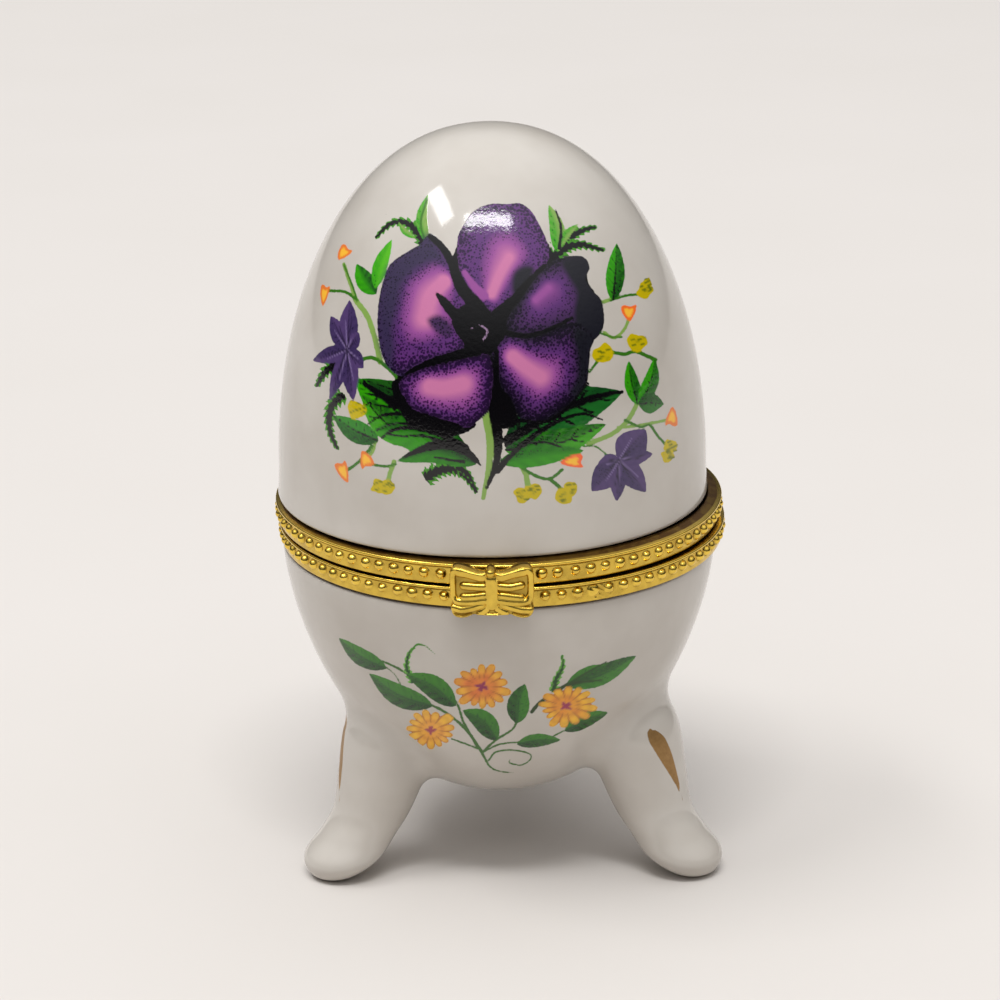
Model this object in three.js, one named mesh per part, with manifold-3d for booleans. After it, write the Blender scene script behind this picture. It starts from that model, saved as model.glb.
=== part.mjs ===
// Footed porcelain egg box with a hinged lid, two beaded gilt bezels and a bow clasp.
// Millimetres, +Z up. The origin is on the egg's axis, on the surface that the feet stand on.
// The front, with the bow, faces -Y. The hinge is at the back, on the +Y side.
import * as THREE from 'three';
import { mergeVertices } from 'three/addons/utils/BufferGeometryUtils.js';
import Module from 'manifold-3d';

const wasm = await Module();
wasm.setup();

// Porcelain
const bowl_clearance = 8.1;          // floor to the bowl's lowest point
const bowl_depth = 35.1;             // bowl's lowest point to the shoulder under its bezel
const bowl_radius = 28.8;            // outside of the bowl at that shoulder
const bowl_wall = 2.6;
const base_spigot_wall = 2.0;        // thinner neck that sits inside the base's bezel
const lid_waist_inset = 0.5;         // lid's waist inside the bowl's radius
const lid_waist_rise = 3.95;         // lid's lower edge to its waist
const lid_dome_height = 45.0;        // waist to the top of the egg
const lid_edge_inset = 0.3;          // lid's lower edge inside the bowl's radius
const lid_wall = 2.6;
const lid_spigot_wall = 2.0;         // thinner neck that sits inside the lid's bezel
const lid_shift = 0.77;              // the lid was glued this far to the left of its bezel
const lid_edge_rise = 0.5;           // gap between the lid's edge and the top of its bezel
const edge_chamfer = 0.35;           // rounded porcelain corners

// Curvature of the two halves of the egg: powers of a superellipse
const lid_pole_power = 2.0;
const lid_side_power = 2.18;
const bowl_pole_power = 1.55;
const bowl_side_power = 2.2;

// Gilt bezels
const bezel_overhang = 0.4;          // face of the bands outside the bowl's radius
const bezel_height = 2.7;
const bezel_thickness = 0.7;
const lip_height = 0.4;              // rounded lip along the upper edge of each band
const lip_reach = 0.45;              // how far the lip stands out of the band
const groove_depth = 0.15;
const groove_height = 0.2;
const flange_width = 1.6;            // flat ledge that covers the porcelain's cut edge
const flange_thickness = 0.5;
const parting_gap = 0.5;             // slit between the closed bezels
const bead_pitch = 2.13;             // bead to bead round the band
const bead_radius = 0.575;
const bead_sink = 0.125;             // how deep the middle of a bead lies under the band's face
const base_bezel_shift = 0.4;        // the base's bezel sits this far to the right of the bowl
const lid_bead_drop = 1.5;           // top of the lid's band to its row of beads
const base_bead_drop = 1.27;

// Bow clasp
const bow_width = 9.6;
const bow_height = 6.5;
const bow_top_rise = 0.15;           // crowns of the loops above the top of the lid's band
const bow_thickness = 0.9;
const bow_relief = 0.45;             // how far rims and pleats stand out of the bow
const bow_azimuth = -1.8;            // degrees, the bow sits a little left of the front
const bow_waist_drop = 1.0;          // dip of the upper edge from a loop's crown to the knot
const loop_height = 4.7;             // crown of a loop to the notch above the tail
const loop_rim = 0.6;                // width of the rolled rim round a loop
const notch_depth = 0.35;            // nick in each side between loop and tail
const hem_rise = 0.5;                // the lower edge is higher in the middle than at the tails
const corner = 0.55;                 // rounded corners of loops and tails
const crown_share = 0.62;            // where a loop's crown begins, by half the bow's width
const tail_share = 0.34;             // where a tail begins, by half the bow's width
const tip_share = 0.5;               // where a tail is at its lowest, by half the bow's width
const knot_width = 1.5;
const knot_height = 3.9;
const knot_rise = 0.3;               // top of the knot above the dip between the loops
const knot_taper = 0.1;
const knot_ball_radius = 0.5;
const pleat_width = 0.3;
const pleat_spacing = 1.15;
const pleat_fan = 0.85;              // spacing of the pleats at the knot by that at their outer ends
const ridge_sink = 0.2;              // ridges, rims and knot start this far below the bow's face
const rim_floor_rise = 0.2;          // lower rim of a loop above the notch
const tail_ridge_drop = 0.6;         // outer end of the ridge along a tail's top below the notch
const hem_band_rise = 0.25;          // middle of the hem's ridge above the lower edge

// Hinge
const hinge_width = 9.0;
const leaf_thickness = 0.5;
const leaf_height = 2.2;
const knuckle_diameter = 2.2;
const pin_diameter = 0.8;
const knuckle_gap = 0.3;             // end play between neighbouring knuckles
const lid_knuckle_width = 3.2;

// Legs: three alike, a third of a turn apart. Each station of a leg has a height, an inset
// of its middle from the bowl's radius, and the half length of its section.
const leg_count = 3;
const leg_group_shift = 1.4;         // the tripod was cast this far right of the bowl's axis
const leg_section_ratio = 1.05;      // width of a section across the leg by its length along it
const pad = { height: 0, inset: 0.8, half: 1.8 };
const sole = { height: 0.9, inset: 1.3, half: 3.6 };
const toe = { height: 2.9, inset: 2.6, half: 5.15 };
const instep = { height: 5.6, inset: 5.0, half: 5.05 };
const ankle = { height: 8.7, inset: 7.2, half: 5.2 };
// the upper stations are measured from the bowl's lowest point
const calf = { rise: 5.9, inset: 9.0, half: 6.0 };
const knee = { rise: 11.9, inset: 11.2, half: 6.85 };
const root = { rise: 16.6, inset: 14.2, half: 6.6 };
const root_end_rise = 19.6;          // the leg's upper end, inside the bowl's wall

// Fits and fineness
const fit_gap = 0.3;                 // between porcelain and metal, and between moving parts
const egg_segments = 36;
const outside_steps = 9;
const inside_steps = 6;
const leaf_segments = 6;
const knuckle_segments = 12;
const leg_segments = 14;
const leg_steps_per_station = 2;

// Heights and radii that follow from the sizes above
const shoulder_height = bowl_clearance + bowl_depth;
const base_band_bottom = shoulder_height + fit_gap;
const base_band_top = base_band_bottom + bezel_height;
const parting_height = base_band_top + parting_gap / 2;
const lid_band_bottom = base_band_top + parting_gap;
const lid_band_top = lid_band_bottom + bezel_height;
const lid_edge_height = lid_band_top + lid_edge_rise;
const lid_waist_height = lid_edge_height + lid_waist_rise;
const lid_radius = bowl_radius - lid_waist_inset;
const lid_edge_radius = bowl_radius - lid_edge_inset;
const bezel_radius = bowl_radius + bezel_overhang;
const bezel_inner_radius = bezel_radius - bezel_thickness;
const bead_count = Math.round((2 * Math.PI * bezel_radius) / bead_pitch);
const base_spigot_radius = bezel_inner_radius - fit_gap - Math.abs(base_bezel_shift);
const lid_spigot_radius = bezel_inner_radius - fit_gap - Math.abs(lid_shift);
const hinge_axis_radius = bezel_radius + lip_reach + fit_gap + knuckle_diameter / 2;

// Metal and glaze
const porcelain = { color: 0xddd9d4, roughness: 0.18, metalness: 0.0 };
const gilt = { color: 0xd0a63c, roughness: 0.28, metalness: 1.0 };
const brass = { color: 0xb08d3a, roughness: 0.4, metalness: 1.0 };

// A closed geometry as a solid that can be joined and cut
function solidOf(geometry) {
  const bare = geometry.clone();
  bare.deleteAttribute('normal');
  bare.deleteAttribute('uv');
  const merged = mergeVertices(bare, 1e-5);
  const corners = Array.from(merged.index.array);
  const triangles = [];
  for (let i = 0; i < corners.length; i += 3) {
    const [a, b, c] = corners.slice(i, i + 3);
    if (a !== b && b !== c && c !== a) {
      triangles.push(a, b, c);
    }
  }
  return new wasm.Manifold(new wasm.Mesh({
    numProp: 3,
    vertProperties: Float32Array.from(merged.attributes.position.array),
    triVerts: Uint32Array.from(triangles),
  }));
}

// A joined or cut solid as a named mesh with its own finish
function meshOf(name, solid, finish) {
  const result = solid.getMesh();
  const geometry = new THREE.BufferGeometry();
  geometry.setAttribute('position', new THREE.BufferAttribute(result.vertProperties, 3));
  geometry.setIndex(new THREE.BufferAttribute(result.triVerts, 1));
  geometry.computeVertexNormals();
  const mesh = new THREE.Mesh(geometry, new THREE.MeshStandardMaterial(finish));
  mesh.name = name;
  return mesh;
}

// A body of revolution about +Z from points (radius, height) that run up its outside
function revolved(points, segments, first_angle = 0) {
  const profile = points.map(([radius, height]) => new THREE.Vector2(radius, height));
  return new THREE.LatheGeometry(profile, segments, first_angle, 2 * Math.PI).rotateX(Math.PI / 2);
}

// Quarter of a superellipse from its pole to its widest point
function eggQuarter(radius, rise, pole_power, side_power, steps) {
  const points = [];
  for (let i = 0; i <= steps; i += 1) {
    const share = Math.cos((i / steps) * (Math.PI / 2));
    points.push([radius * (1 - share ** pole_power) ** (1 / side_power), share * rise]);
  }
  points[0][0] = 0;
  points[steps][0] = radius;
  return points;
}

// Lays a flat shape, drawn in X and Y and raised in Z, onto a round band at an azimuth
function wrapOnBand(geometry, radius, height, azimuth) {
  const position = geometry.attributes.position;
  for (let i = 0; i < position.count; i += 1) {
    const angle = position.getX(i) / radius + azimuth;
    const reach = radius + position.getZ(i);
    position.setXYZ(i, reach * Math.sin(angle), -reach * Math.cos(angle), height + position.getY(i));
  }
  return geometry;
}

function unionOf(solids) {
  return solids.reduce((sum, solid) => sum.add(solid));
}

// Upper half of the egg, hollow, with a thinner spigot below its edge
function lidShell() {
  const dome = (radius, rise, steps) => eggQuarter(radius, rise, lid_pole_power, lid_side_power, steps)
    .map(([r, h]) => [r, lid_waist_height + h]);
  const outside = dome(lid_radius, lid_dome_height, outside_steps);
  const inside = dome(lid_radius - lid_wall, lid_dome_height - lid_wall, inside_steps);
  const spigot_end = lid_band_bottom + flange_thickness + fit_gap;
  const profile = [
    ...inside,
    [lid_spigot_radius - lid_spigot_wall, spigot_end],
    [lid_spigot_radius, spigot_end],
    [lid_spigot_radius, lid_edge_height],
    [lid_edge_radius - edge_chamfer, lid_edge_height],
    [lid_edge_radius, lid_edge_height + edge_chamfer],
    ...outside.reverse(),
  ];
  const solid = solidOf(revolved(profile, egg_segments));
  return meshOf('lid_shell', solid.translate([-lid_shift, 0, 0]), porcelain);
}

// One leg as a round body that leans outward from the bowl to its toe
function legSolid(azimuth) {
  const station = (height, inset, half) => new THREE.Vector3(bowl_radius - inset, half, height);
  const line = new THREE.CatmullRomCurve3([
    station(pad.height, pad.inset, pad.half),
    station(sole.height, sole.inset, sole.half),
    station(toe.height, toe.inset, toe.half),
    station(instep.height, instep.inset, instep.half),
    station(ankle.height, ankle.inset, ankle.half),
    station(bowl_clearance + calf.rise, calf.inset, calf.half),
    station(bowl_clearance + knee.rise, knee.inset, knee.half),
    station(bowl_clearance + root.rise, root.inset, root.half),
  ]);
  const levels = line.getPoints(leg_steps_per_station * (line.points.length - 1));
  levels[0].z = 0;
  const first = levels[0];
  const last = levels[levels.length - 1];
  levels.unshift(new THREE.Vector3(first.x, 0, first.z));
  levels.push(new THREE.Vector3(last.x, 0, bowl_clearance + root_end_rise));
  const geometry = revolved(levels.map((level) => [level.y, level.z]), leg_segments);
  const position = geometry.attributes.position;
  for (let i = 0; i < position.count; i += 1) {
    const level = levels[i % levels.length];
    const across = position.getX(i) * leg_section_ratio;
    position.setXYZ(i, across, position.getY(i) - level.x, position.getZ(i));
  }
  return solidOf(geometry.rotateZ(azimuth).translate(leg_group_shift, 0, 0));
}

// Lower half of the egg and its three legs, cast as one, hollow
function bowlAndLegs() {
  const half = (radius, depth, steps) => eggQuarter(radius, depth, bowl_pole_power, bowl_side_power, steps)
    .map(([r, h]) => [r, shoulder_height - h]);
  const rim = base_band_top - flange_thickness - fit_gap;
  const outside = [
    ...half(bowl_radius, bowl_depth, outside_steps),
    [base_spigot_radius, shoulder_height],
    [base_spigot_radius, rim],
    [0, rim],
  ];
  const inside = [
    ...half(base_spigot_radius - base_spigot_wall, bowl_depth - bowl_wall, inside_steps),
    [base_spigot_radius - base_spigot_wall, rim + bowl_wall],
    [0, rim + bowl_wall],
  ];
  let solid = solidOf(revolved(outside, egg_segments));
  for (let i = 0; i < leg_count; i += 1) {
    solid = solid.add(legSolid(((i + 0.5) / leg_count) * 2 * Math.PI));
  }
  solid = solid.subtract(solidOf(revolved(inside, egg_segments)));
  return meshOf('bowl_and_legs', solid, porcelain);
}

// Beads on a band, left out where the bow or the hinge covers it
function beadRow(height, face_radius) {
  const pitch = (2 * Math.PI) / bead_count;
  const covered = [
    { middle: THREE.MathUtils.degToRad(bow_azimuth), half: bow_width / 2 / bezel_radius },
    { middle: Math.PI, half: hinge_width / 2 / bezel_radius },
  ];
  const beads = [];
  for (let i = 0; i < bead_count; i += 1) {
    const azimuth = (i + 0.5) * pitch;
    const hidden = covered.some(({ middle, half }) => {
      const apart = Math.abs(Math.atan2(Math.sin(azimuth - middle), Math.cos(azimuth - middle)));
      return apart < half + pitch / 2;
    });
    if (!hidden) {
      const bead = new THREE.OctahedronGeometry(bead_radius, 0);
      bead.translate(0, -(face_radius - bead_sink), height);
      beads.push(solidOf(bead.rotateZ(azimuth)));
    }
  }
  return beads;
}

// One band: lip, groove and beaded face outside, and a flat flange towards the parting
function bezelSolid(bottom, flange_at_top, bead_drop, shift = 0) {
  const top = bottom + bezel_height;
  const inner = bezel_inner_radius;
  const ledge = inner - flange_width;
  const outside = [
    [bezel_radius, bottom],
    [bezel_radius, top - lip_height - groove_height],
    [bezel_radius - groove_depth, top - lip_height - groove_height / 2],
    [bezel_radius + lip_reach, top - lip_height],
    [bezel_radius + lip_reach, top],
  ];
  const inside = flange_at_top
    ? [[ledge, top], [ledge, top - flange_thickness], [inner, top - flange_thickness], [inner, bottom]]
    : [[inner, top], [inner, bottom + flange_thickness], [ledge, bottom + flange_thickness], [ledge, bottom]];
  const profile = [...outside, ...inside, outside[0]];
  const ring = solidOf(revolved(profile, bead_count));
  return unionOf([ring, ...beadRow(top - bead_drop, bezel_radius)]).translate([shift, 0, 0]);
}

// A prism of a flat outline, from depth back to depth front, ready to be laid on the band
function plate(outline, back, front) {
  const shape = new THREE.Shape(outline.map(([x, y]) => new THREE.Vector2(x, y)));
  const depth = front - back;
  return new THREE.ExtrudeGeometry(shape, { depth, bevelEnabled: false }).translate(0, 0, back);
}

// A straight ridge between two points of the bow
function ridge(from, to, width, back, front) {
  const along = new THREE.Vector2(to[0] - from[0], to[1] - from[1]).setLength(width / 2);
  const [dx, dy] = [-along.y, along.x];
  return plate([
    [from[0] + dx, from[1] + dy], [from[0] - dx, from[1] - dy],
    [to[0] - dx, to[1] - dy], [to[0] + dx, to[1] + dy],
  ], back, front);
}

// Bow: two rimmed and pleated loops above two tails, and a knot with a small ball
function bowClasp() {
  const back = lip_reach + fit_gap;
  const face = back + bow_thickness;
  const relief = face + bow_relief;
  const under = face - ridge_sink;
  const crown = bow_height / 2;
  const side_edge = bow_width / 2;
  const waist = crown - bow_waist_drop;
  const notch = crown - loop_height;
  const hem = -crown + hem_rise;
  const right_half = [
    [side_edge * tail_share, hem],
    [side_edge * tip_share, -crown],
    [side_edge - 2 * corner, -crown],
    [side_edge - notch_depth / 2, -crown + corner],
    [side_edge - notch_depth / 2, notch - corner],
    [side_edge - notch_depth, notch],
    [side_edge, notch + corner],
    [side_edge, crown - corner],
    [side_edge - corner, crown],
    [side_edge * crown_share, crown],
    [knot_width / 2, waist],
  ];
  const left_half = right_half.map(([x, y]) => [-x, y]).reverse();
  const body = plate([...right_half, ...left_half], back, face);
  const rim_start = knot_width / 2 - ridge_sink;
  const loopRim = (side, inset, from, to) => plate([
    [side * (rim_start + inset), notch + rim_floor_rise + inset],
    [side * (side_edge - corner - inset / 2), notch + rim_floor_rise + inset],
    [side * (side_edge - inset), notch + corner + inset / 2],
    [side * (side_edge - inset), crown - corner - inset / 2],
    [side * (side_edge - corner - inset / 2), crown - inset],
    [side * side_edge * crown_share, crown - inset],
    [side * (rim_start + inset), waist - inset],
  ], from, to);
  const middle = (crown + notch) / 2 - bow_waist_drop / 4;
  const pleat_end = side_edge - loop_rim - corner;
  const ridges = (side) => [
    ...[0.5, -0.5].map((level) => ridge(
      [side * knot_width / 2, middle + level * pleat_spacing * pleat_fan],
      [side * pleat_end, middle + level * pleat_spacing],
      pleat_width, under, face + bow_relief / 2,
    )),
    ridge(
      [side * knot_width / 2, notch - ridge_sink], [side * (side_edge - corner), notch - tail_ridge_drop],
      pleat_width, under, relief,
    ),
    ridge(
      [side * side_edge * tail_share, hem + hem_band_rise],
      [side * (side_edge - 1.5 * corner), hem_band_rise - crown],
      pleat_width, under, relief,
    ),
  ];
  const knot_top = waist + knot_rise;
  const knot = plate([
    [-knot_width / 2, knot_top - knot_height], [knot_width / 2, knot_top - knot_height],
    [knot_width / 2 - knot_taper, knot_top], [knot_taper - knot_width / 2, knot_top],
  ], under, relief + knot_taper);
  const ball = new THREE.SphereGeometry(knot_ball_radius, 8, 6).rotateX(Math.PI / 2);
  ball.translate(0, knot_top + knot_ball_radius - ridge_sink, face);
  const hem_band = ridge(
    [-side_edge * tail_share, hem + hem_band_rise], [side_edge * tail_share, hem + hem_band_rise],
    pleat_width, under, face + bow_relief / 2,
  );
  const azimuth = THREE.MathUtils.degToRad(bow_azimuth);
  const middle_height = lid_band_top + bow_top_rise - crown;
  const laid = (geometry) => solidOf(wrapOnBand(geometry, bezel_radius, middle_height, azimuth));
  const halves = [-1, 1].map((side) => unionOf([
    laid(loopRim(side, 0, under, relief)).subtract(laid(loopRim(side, loop_rim, face, 2 * relief))),
    ...ridges(side).map(laid),
  ]));
  return meshOf('bow_clasp', unionOf([laid(body), ...halves, laid(knot), laid(ball), laid(hem_band)]), gilt);
}

// A round bar along X, centred on the hinge's axis
function hingeBar(diameter, width, middle = 0) {
  const bar = new THREE.CylinderGeometry(diameter / 2, diameter / 2, width, knuckle_segments)
    .rotateZ(Math.PI / 2);
  return solidOf(bar.translate(middle, hinge_axis_radius, parting_height));
}

// A leaf laid on the back of a band, with its knuckles; the other leaf's knuckles turn clear of it
function hingeLeaf(name, above, knuckles, others) {
  const back = lip_reach + fit_gap;
  const middle_height = (above ? 1 : -1) * (parting_gap / 2 + leaf_height / 2);
  const leaf = new THREE.BoxGeometry(hinge_width, leaf_height, leaf_thickness, leaf_segments);
  leaf.translate(0, middle_height, back + leaf_thickness / 2);
  let solid = solidOf(wrapOnBand(leaf, bezel_radius, parting_height, Math.PI));
  const swept = knuckle_diameter + 2 * fit_gap;
  for (const { middle, width } of others) {
    solid = solid.subtract(hingeBar(swept, width + 2 * knuckle_gap, middle));
  }
  for (const { middle, width } of knuckles) {
    solid = solid.add(hingeBar(knuckle_diameter, width, middle));
  }
  return meshOf(name, solid.subtract(hingeBar(pin_diameter + 2 * fit_gap, 2 * hinge_width)), brass);
}

function hinge() {
  const outer_width = (hinge_width - lid_knuckle_width) / 2 - knuckle_gap;
  const outer_middle = hinge_width / 2 - outer_width / 2;
  const base_knuckles = [-1, 1].map((side) => ({ middle: side * outer_middle, width: outer_width }));
  const lid_knuckles = [{ middle: 0, width: lid_knuckle_width }];
  return [
    hingeLeaf('base_hinge_leaf', false, base_knuckles, lid_knuckles),
    hingeLeaf('lid_hinge_leaf', true, lid_knuckles, base_knuckles),
    meshOf('hinge_pin', hingeBar(pin_diameter, hinge_width), brass),
  ];
}

const box = new THREE.Group();
box.add(bowlAndLegs());
box.add(meshOf('base_bezel', bezelSolid(base_band_bottom, true, base_bead_drop, base_bezel_shift), gilt));
box.add(lidShell());
box.add(meshOf('lid_bezel', bezelSolid(lid_band_bottom, false, lid_bead_drop), gilt));
box.add(bowClasp());
box.add(...hinge());

export default box;
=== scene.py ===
"""Footed porcelain egg box: cast and glazed porcelain with fired-on flower transfers,
two stamped gilt bezels with beads, a gilt bow clasp in front and a small hinge behind.

Sizes are in millimetres, angles in degrees, and meshes in metres. An azimuth is measured
round the upright axis, from the front towards the right.
"""
import logging
import math
from collections.abc import Callable, Sequence
from dataclasses import dataclass
from enum import Enum
from functools import partial

import bmesh
import bpy
import numpy as np
from bmesh.types import BMesh, BMVert
from bpy.types import Material, Mesh, Node, NodeSocket, NodeTree, Object
from mathutils import Matrix, Vector


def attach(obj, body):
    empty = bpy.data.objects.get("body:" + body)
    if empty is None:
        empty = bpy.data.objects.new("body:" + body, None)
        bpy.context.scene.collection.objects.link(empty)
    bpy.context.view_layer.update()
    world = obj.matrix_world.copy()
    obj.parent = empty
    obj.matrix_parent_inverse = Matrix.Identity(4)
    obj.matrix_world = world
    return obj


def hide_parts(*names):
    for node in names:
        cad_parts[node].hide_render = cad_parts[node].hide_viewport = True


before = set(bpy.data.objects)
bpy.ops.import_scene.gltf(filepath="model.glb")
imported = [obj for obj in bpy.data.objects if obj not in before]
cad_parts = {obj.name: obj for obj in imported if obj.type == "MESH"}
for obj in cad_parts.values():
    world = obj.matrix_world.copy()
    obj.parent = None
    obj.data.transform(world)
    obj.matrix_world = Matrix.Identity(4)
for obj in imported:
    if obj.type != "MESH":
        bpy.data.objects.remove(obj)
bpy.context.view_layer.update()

log = logging.getLogger("egg_box")

MM = 0.001
FAR = 9.0  # mm, stands for "nowhere near" in the distances that a transfer keeps
BAND_RADIUS = 29.2  # mm, face of both gilt bands
AIM_HEIGHT, VIEW_TILT, VIEW_REACH = 47.9, 18.75, 443.1  # mm, degrees and mm: the view from the front
Array = np.ndarray
Point = tuple[float, float]


class Body(Enum):
    """The two moving halves of the box."""

    BASE = "base"
    LID = "lid"


class Slot(Enum):
    """Finishes named in the record."""

    PORCELAIN = "porcelain"
    GILT = "gilt"
    BRASS = "brass"


def linear(colour: str) -> tuple[float, float, float, float]:
    """Turns an sRGB hex colour to linear light.

    Args:
        colour: "#rrggbb".

    Returns:
        Linear red, green, blue and an alpha of 1.
    """
    channels = (int(colour[i : i + 2], 16) / 255 for i in (1, 3, 5))
    return (*(c / 12.92 if c <= 0.04045 else ((c + 0.055) / 1.055) ** 2.4 for c in channels), 1.0)


def rgb(colour: str) -> Array:
    """Gives the linear red, green and blue of a hex colour."""
    return np.array(linear(colour)[:3])


def ease(value: Array, low: float, high: float) -> Array:
    """Rises smoothly from 0 at low to 1 at high.

    Args:
        value: Where to look.
        low: Value that gives 0.
        high: Value that gives 1.

    Returns:
        The eased share, from 0 to 1.
    """
    t = np.clip((value - low) / (high - low), 0.0, 1.0)
    return t * t * (3 - 2 * t)


def blend(first: Array, second: Array, share: Array) -> Array:
    """Mixes two colours, or two rows of colours, by a share for each row."""
    return first + (second - first) * np.asarray(share)[:, None]


def curve_through(points: Sequence[Point] | Array, closed: bool = False, steps: int = 8) -> Array:
    """Draws a smooth line through points in order.

    Args:
        points: Places that the line passes.
        closed: Whether the line returns to its start.
        steps: Short pieces between two neighbouring places.

    Returns:
        Points along the line, one row each.
    """
    knots = np.array(points, float)
    if closed:
        knots = np.vstack([knots[-1:], knots, knots[:2]])
    else:
        knots = np.vstack([2 * knots[0] - knots[1], knots, 2 * knots[-1] - knots[-2]])
    t = np.linspace(0, 1, steps, endpoint=False)[:, None]
    spans = []
    for a, b, c, d in zip(knots, knots[1:], knots[2:], knots[3:]):
        bend = 2 * a - 5 * b + 4 * c - d
        twist = 3 * b - 3 * c + d - a
        spans.append(b + 0.5 * ((c - a) * t + bend * t**2 + twist * t**3))
    return np.vstack([*spans, knots[-2:-1]])


def measure(x: Array, y: Array, line: Array) -> tuple[Array, ...]:
    """Finds the nearest place on a line for each point.

    Args:
        x: Across.
        y: Up.
        line: Points along the line.

    Returns:
        Distance to the line, which side of it the point is on (+1 left, -1 right), and the
        share of the line's length at the nearest place.
    """
    start, step = line[:-1], np.diff(line, axis=0)
    length = np.maximum(np.hypot(step[:, 0], step[:, 1]), 1e-9)
    px, py = x[:, None] - start[:, 0], y[:, None] - start[:, 1]
    t = np.clip((px * step[:, 0] + py * step[:, 1]) / length**2, 0, 1)
    away = np.hypot(px - t * step[:, 0], py - t * step[:, 1])
    best = away.argmin(axis=1)
    rows = np.arange(len(x))
    side = np.sign(step[best, 0] * py[rows, best] - step[best, 1] * px[rows, best])
    before = np.concatenate([[0], np.cumsum(length)[:-1]])
    share = (before[best] + t[rows, best] * length[best]) / length.sum()
    return away[rows, best], side, share


def inside_outline(x: Array, y: Array, outline: Array) -> Array:
    """Gives the distance in from a closed outline, negative outside it.

    Args:
        x: Across.
        y: Up.
        outline: Points round the outline, the last one equal to the first.

    Returns:
        Signed distance for each point.
    """
    distance, _, _ = measure(x, y, outline)
    a, b = outline[:-1], outline[1:]
    spans = (a[:, 1] > y[:, None]) != (b[:, 1] > y[:, None])
    slope = (b[:, 0] - a[:, 0]) / np.where(b[:, 1] == a[:, 1], 1e-9, b[:, 1] - a[:, 1])
    crossings = spans & (x[:, None] < a[:, 0] + slope * (y[:, None] - a[:, 1]))
    return np.where(crossings.sum(axis=1) % 2 == 1, distance, -distance)


def add_node(
    tree: NodeTree, kind: str, inputs: dict[str | int, object] | None = None, **settings: object
) -> Node:
    """Adds a node with its settings and links.

    Args:
        tree: Node tree that gets the node.
        kind: Blender's name for the node.
        inputs: For each input, a plain value or the socket that feeds it.
        settings: Properties of the node.

    Returns:
        The new node.
    """
    node = tree.nodes.new(kind)
    for name, value in settings.items():
        setattr(node, name, value)
    for name, value in (inputs or {}).items():
        if isinstance(value, NodeSocket):
            tree.links.new(value, node.inputs[name])
        else:
            node.inputs[name].default_value = value
    return node


def empty_material(name: str) -> tuple[Material, Callable[..., Node]]:
    """Makes a material with no nodes yet.

    Args:
        name: The finish, in plain words.

    Returns:
        The material, and add_node for its tree.
    """
    material = bpy.data.materials.new(name)
    material.use_nodes = True
    material.node_tree.nodes.clear()
    return material, partial(add_node, material.node_tree)


def turned(profile: Sequence[Point], arcs: Sequence[tuple[float, int, int]], first: float = 0.0) -> BMesh:
    """Turns a profile about the upright axis into a closed body, wedge by wedge.

    Args:
        profile: Radius and height of each point in turn. Its two ends meet or lie on the axis.
        arcs: Angle of each arc, its number of equal wedges and the steps of a wedge. The
            angles add up to a full turn.
        first: Azimuth at which the first arc starts.

    Returns:
        The body, with outward faces.
    """
    whole = bmesh.new()
    for angle, wedges, steps in arcs:
        bm = bmesh.new()
        tip = bm.verts.new((0.0, -profile[0][0] * MM, profile[0][1] * MM))
        for radius, height in profile[1:]:
            tip = bmesh.ops.extrude_vert_indiv(bm, verts=[tip])["verts"][0]
            tip.co = (0.0, -radius * MM, height * MM)
        start = Matrix.Rotation(math.radians(first), 3, "Z")
        bmesh.ops.rotate(bm, verts=bm.verts, cent=(0, 0, 0), matrix=start)
        share = math.radians(angle) / wedges
        bmesh.ops.spin(
            bm, geom=bm.verts[:] + bm.edges[:], cent=(0, 0, 0), axis=(0, 0, 1), angle=share, steps=steps,
            use_merge=wedges == 1 and angle == 360,
        )
        wedge = to_mesh(bm, "wedge")
        for _ in range(wedges):
            whole.from_mesh(wedge)
            wedge.transform(Matrix.Rotation(share, 4, "Z"))
        bpy.data.meshes.remove(wedge)
        first += angle
    bmesh.ops.remove_doubles(whole, verts=whole.verts, dist=1e-3 * MM)
    bmesh.ops.recalc_face_normals(whole, faces=whole.faces)
    return whole


def to_mesh(bm: BMesh, name: str) -> Mesh:
    """Turns a bmesh into a smooth-shaded mesh and frees it."""
    for face in bm.faces:
        face.smooth = True
    mesh = bpy.data.meshes.new(name)
    bm.to_mesh(mesh)
    bm.free()
    return mesh


def places(mesh: Mesh) -> Array:
    """Reads a mesh's points in millimetres, one row each."""
    flat = np.empty(len(mesh.vertices) * 3, np.float32)
    mesh.vertices.foreach_get("co", flat)
    return flat.reshape(-1, 3).astype(float) / MM


def move_to(mesh: Mesh, points: Array) -> None:
    """Moves a mesh's points to places in millimetres."""
    mesh.vertices.foreach_set("co", (points * MM).astype(np.float32).ravel())
    mesh.update()


def mark(mesh: Mesh, name: str, values: Array) -> None:
    """Stores a number or a colour at each point of a mesh.

    Args:
        mesh: The mesh.
        name: Name that the finish reads.
        values: One number a point, or red, green and blue a point.
    """
    if values.ndim == 1:
        layer = mesh.attributes.new(name, "FLOAT", "POINT")
        layer.data.foreach_set("value", values.astype(np.float32))
    else:
        layer = mesh.attributes.new(name, "FLOAT_COLOR", "POINT")
        rgba = np.column_stack([values, np.ones(len(values))])
        layer.data.foreach_set("color", rgba.astype(np.float32).ravel())


def azimuth_of(points: Array, centre_x: float = 0.0) -> Array:
    """Azimuth of each point in degrees, from the front towards the right."""
    return np.degrees(np.arctan2(points[:, 0] - centre_x, -points[:, 1]))


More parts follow.
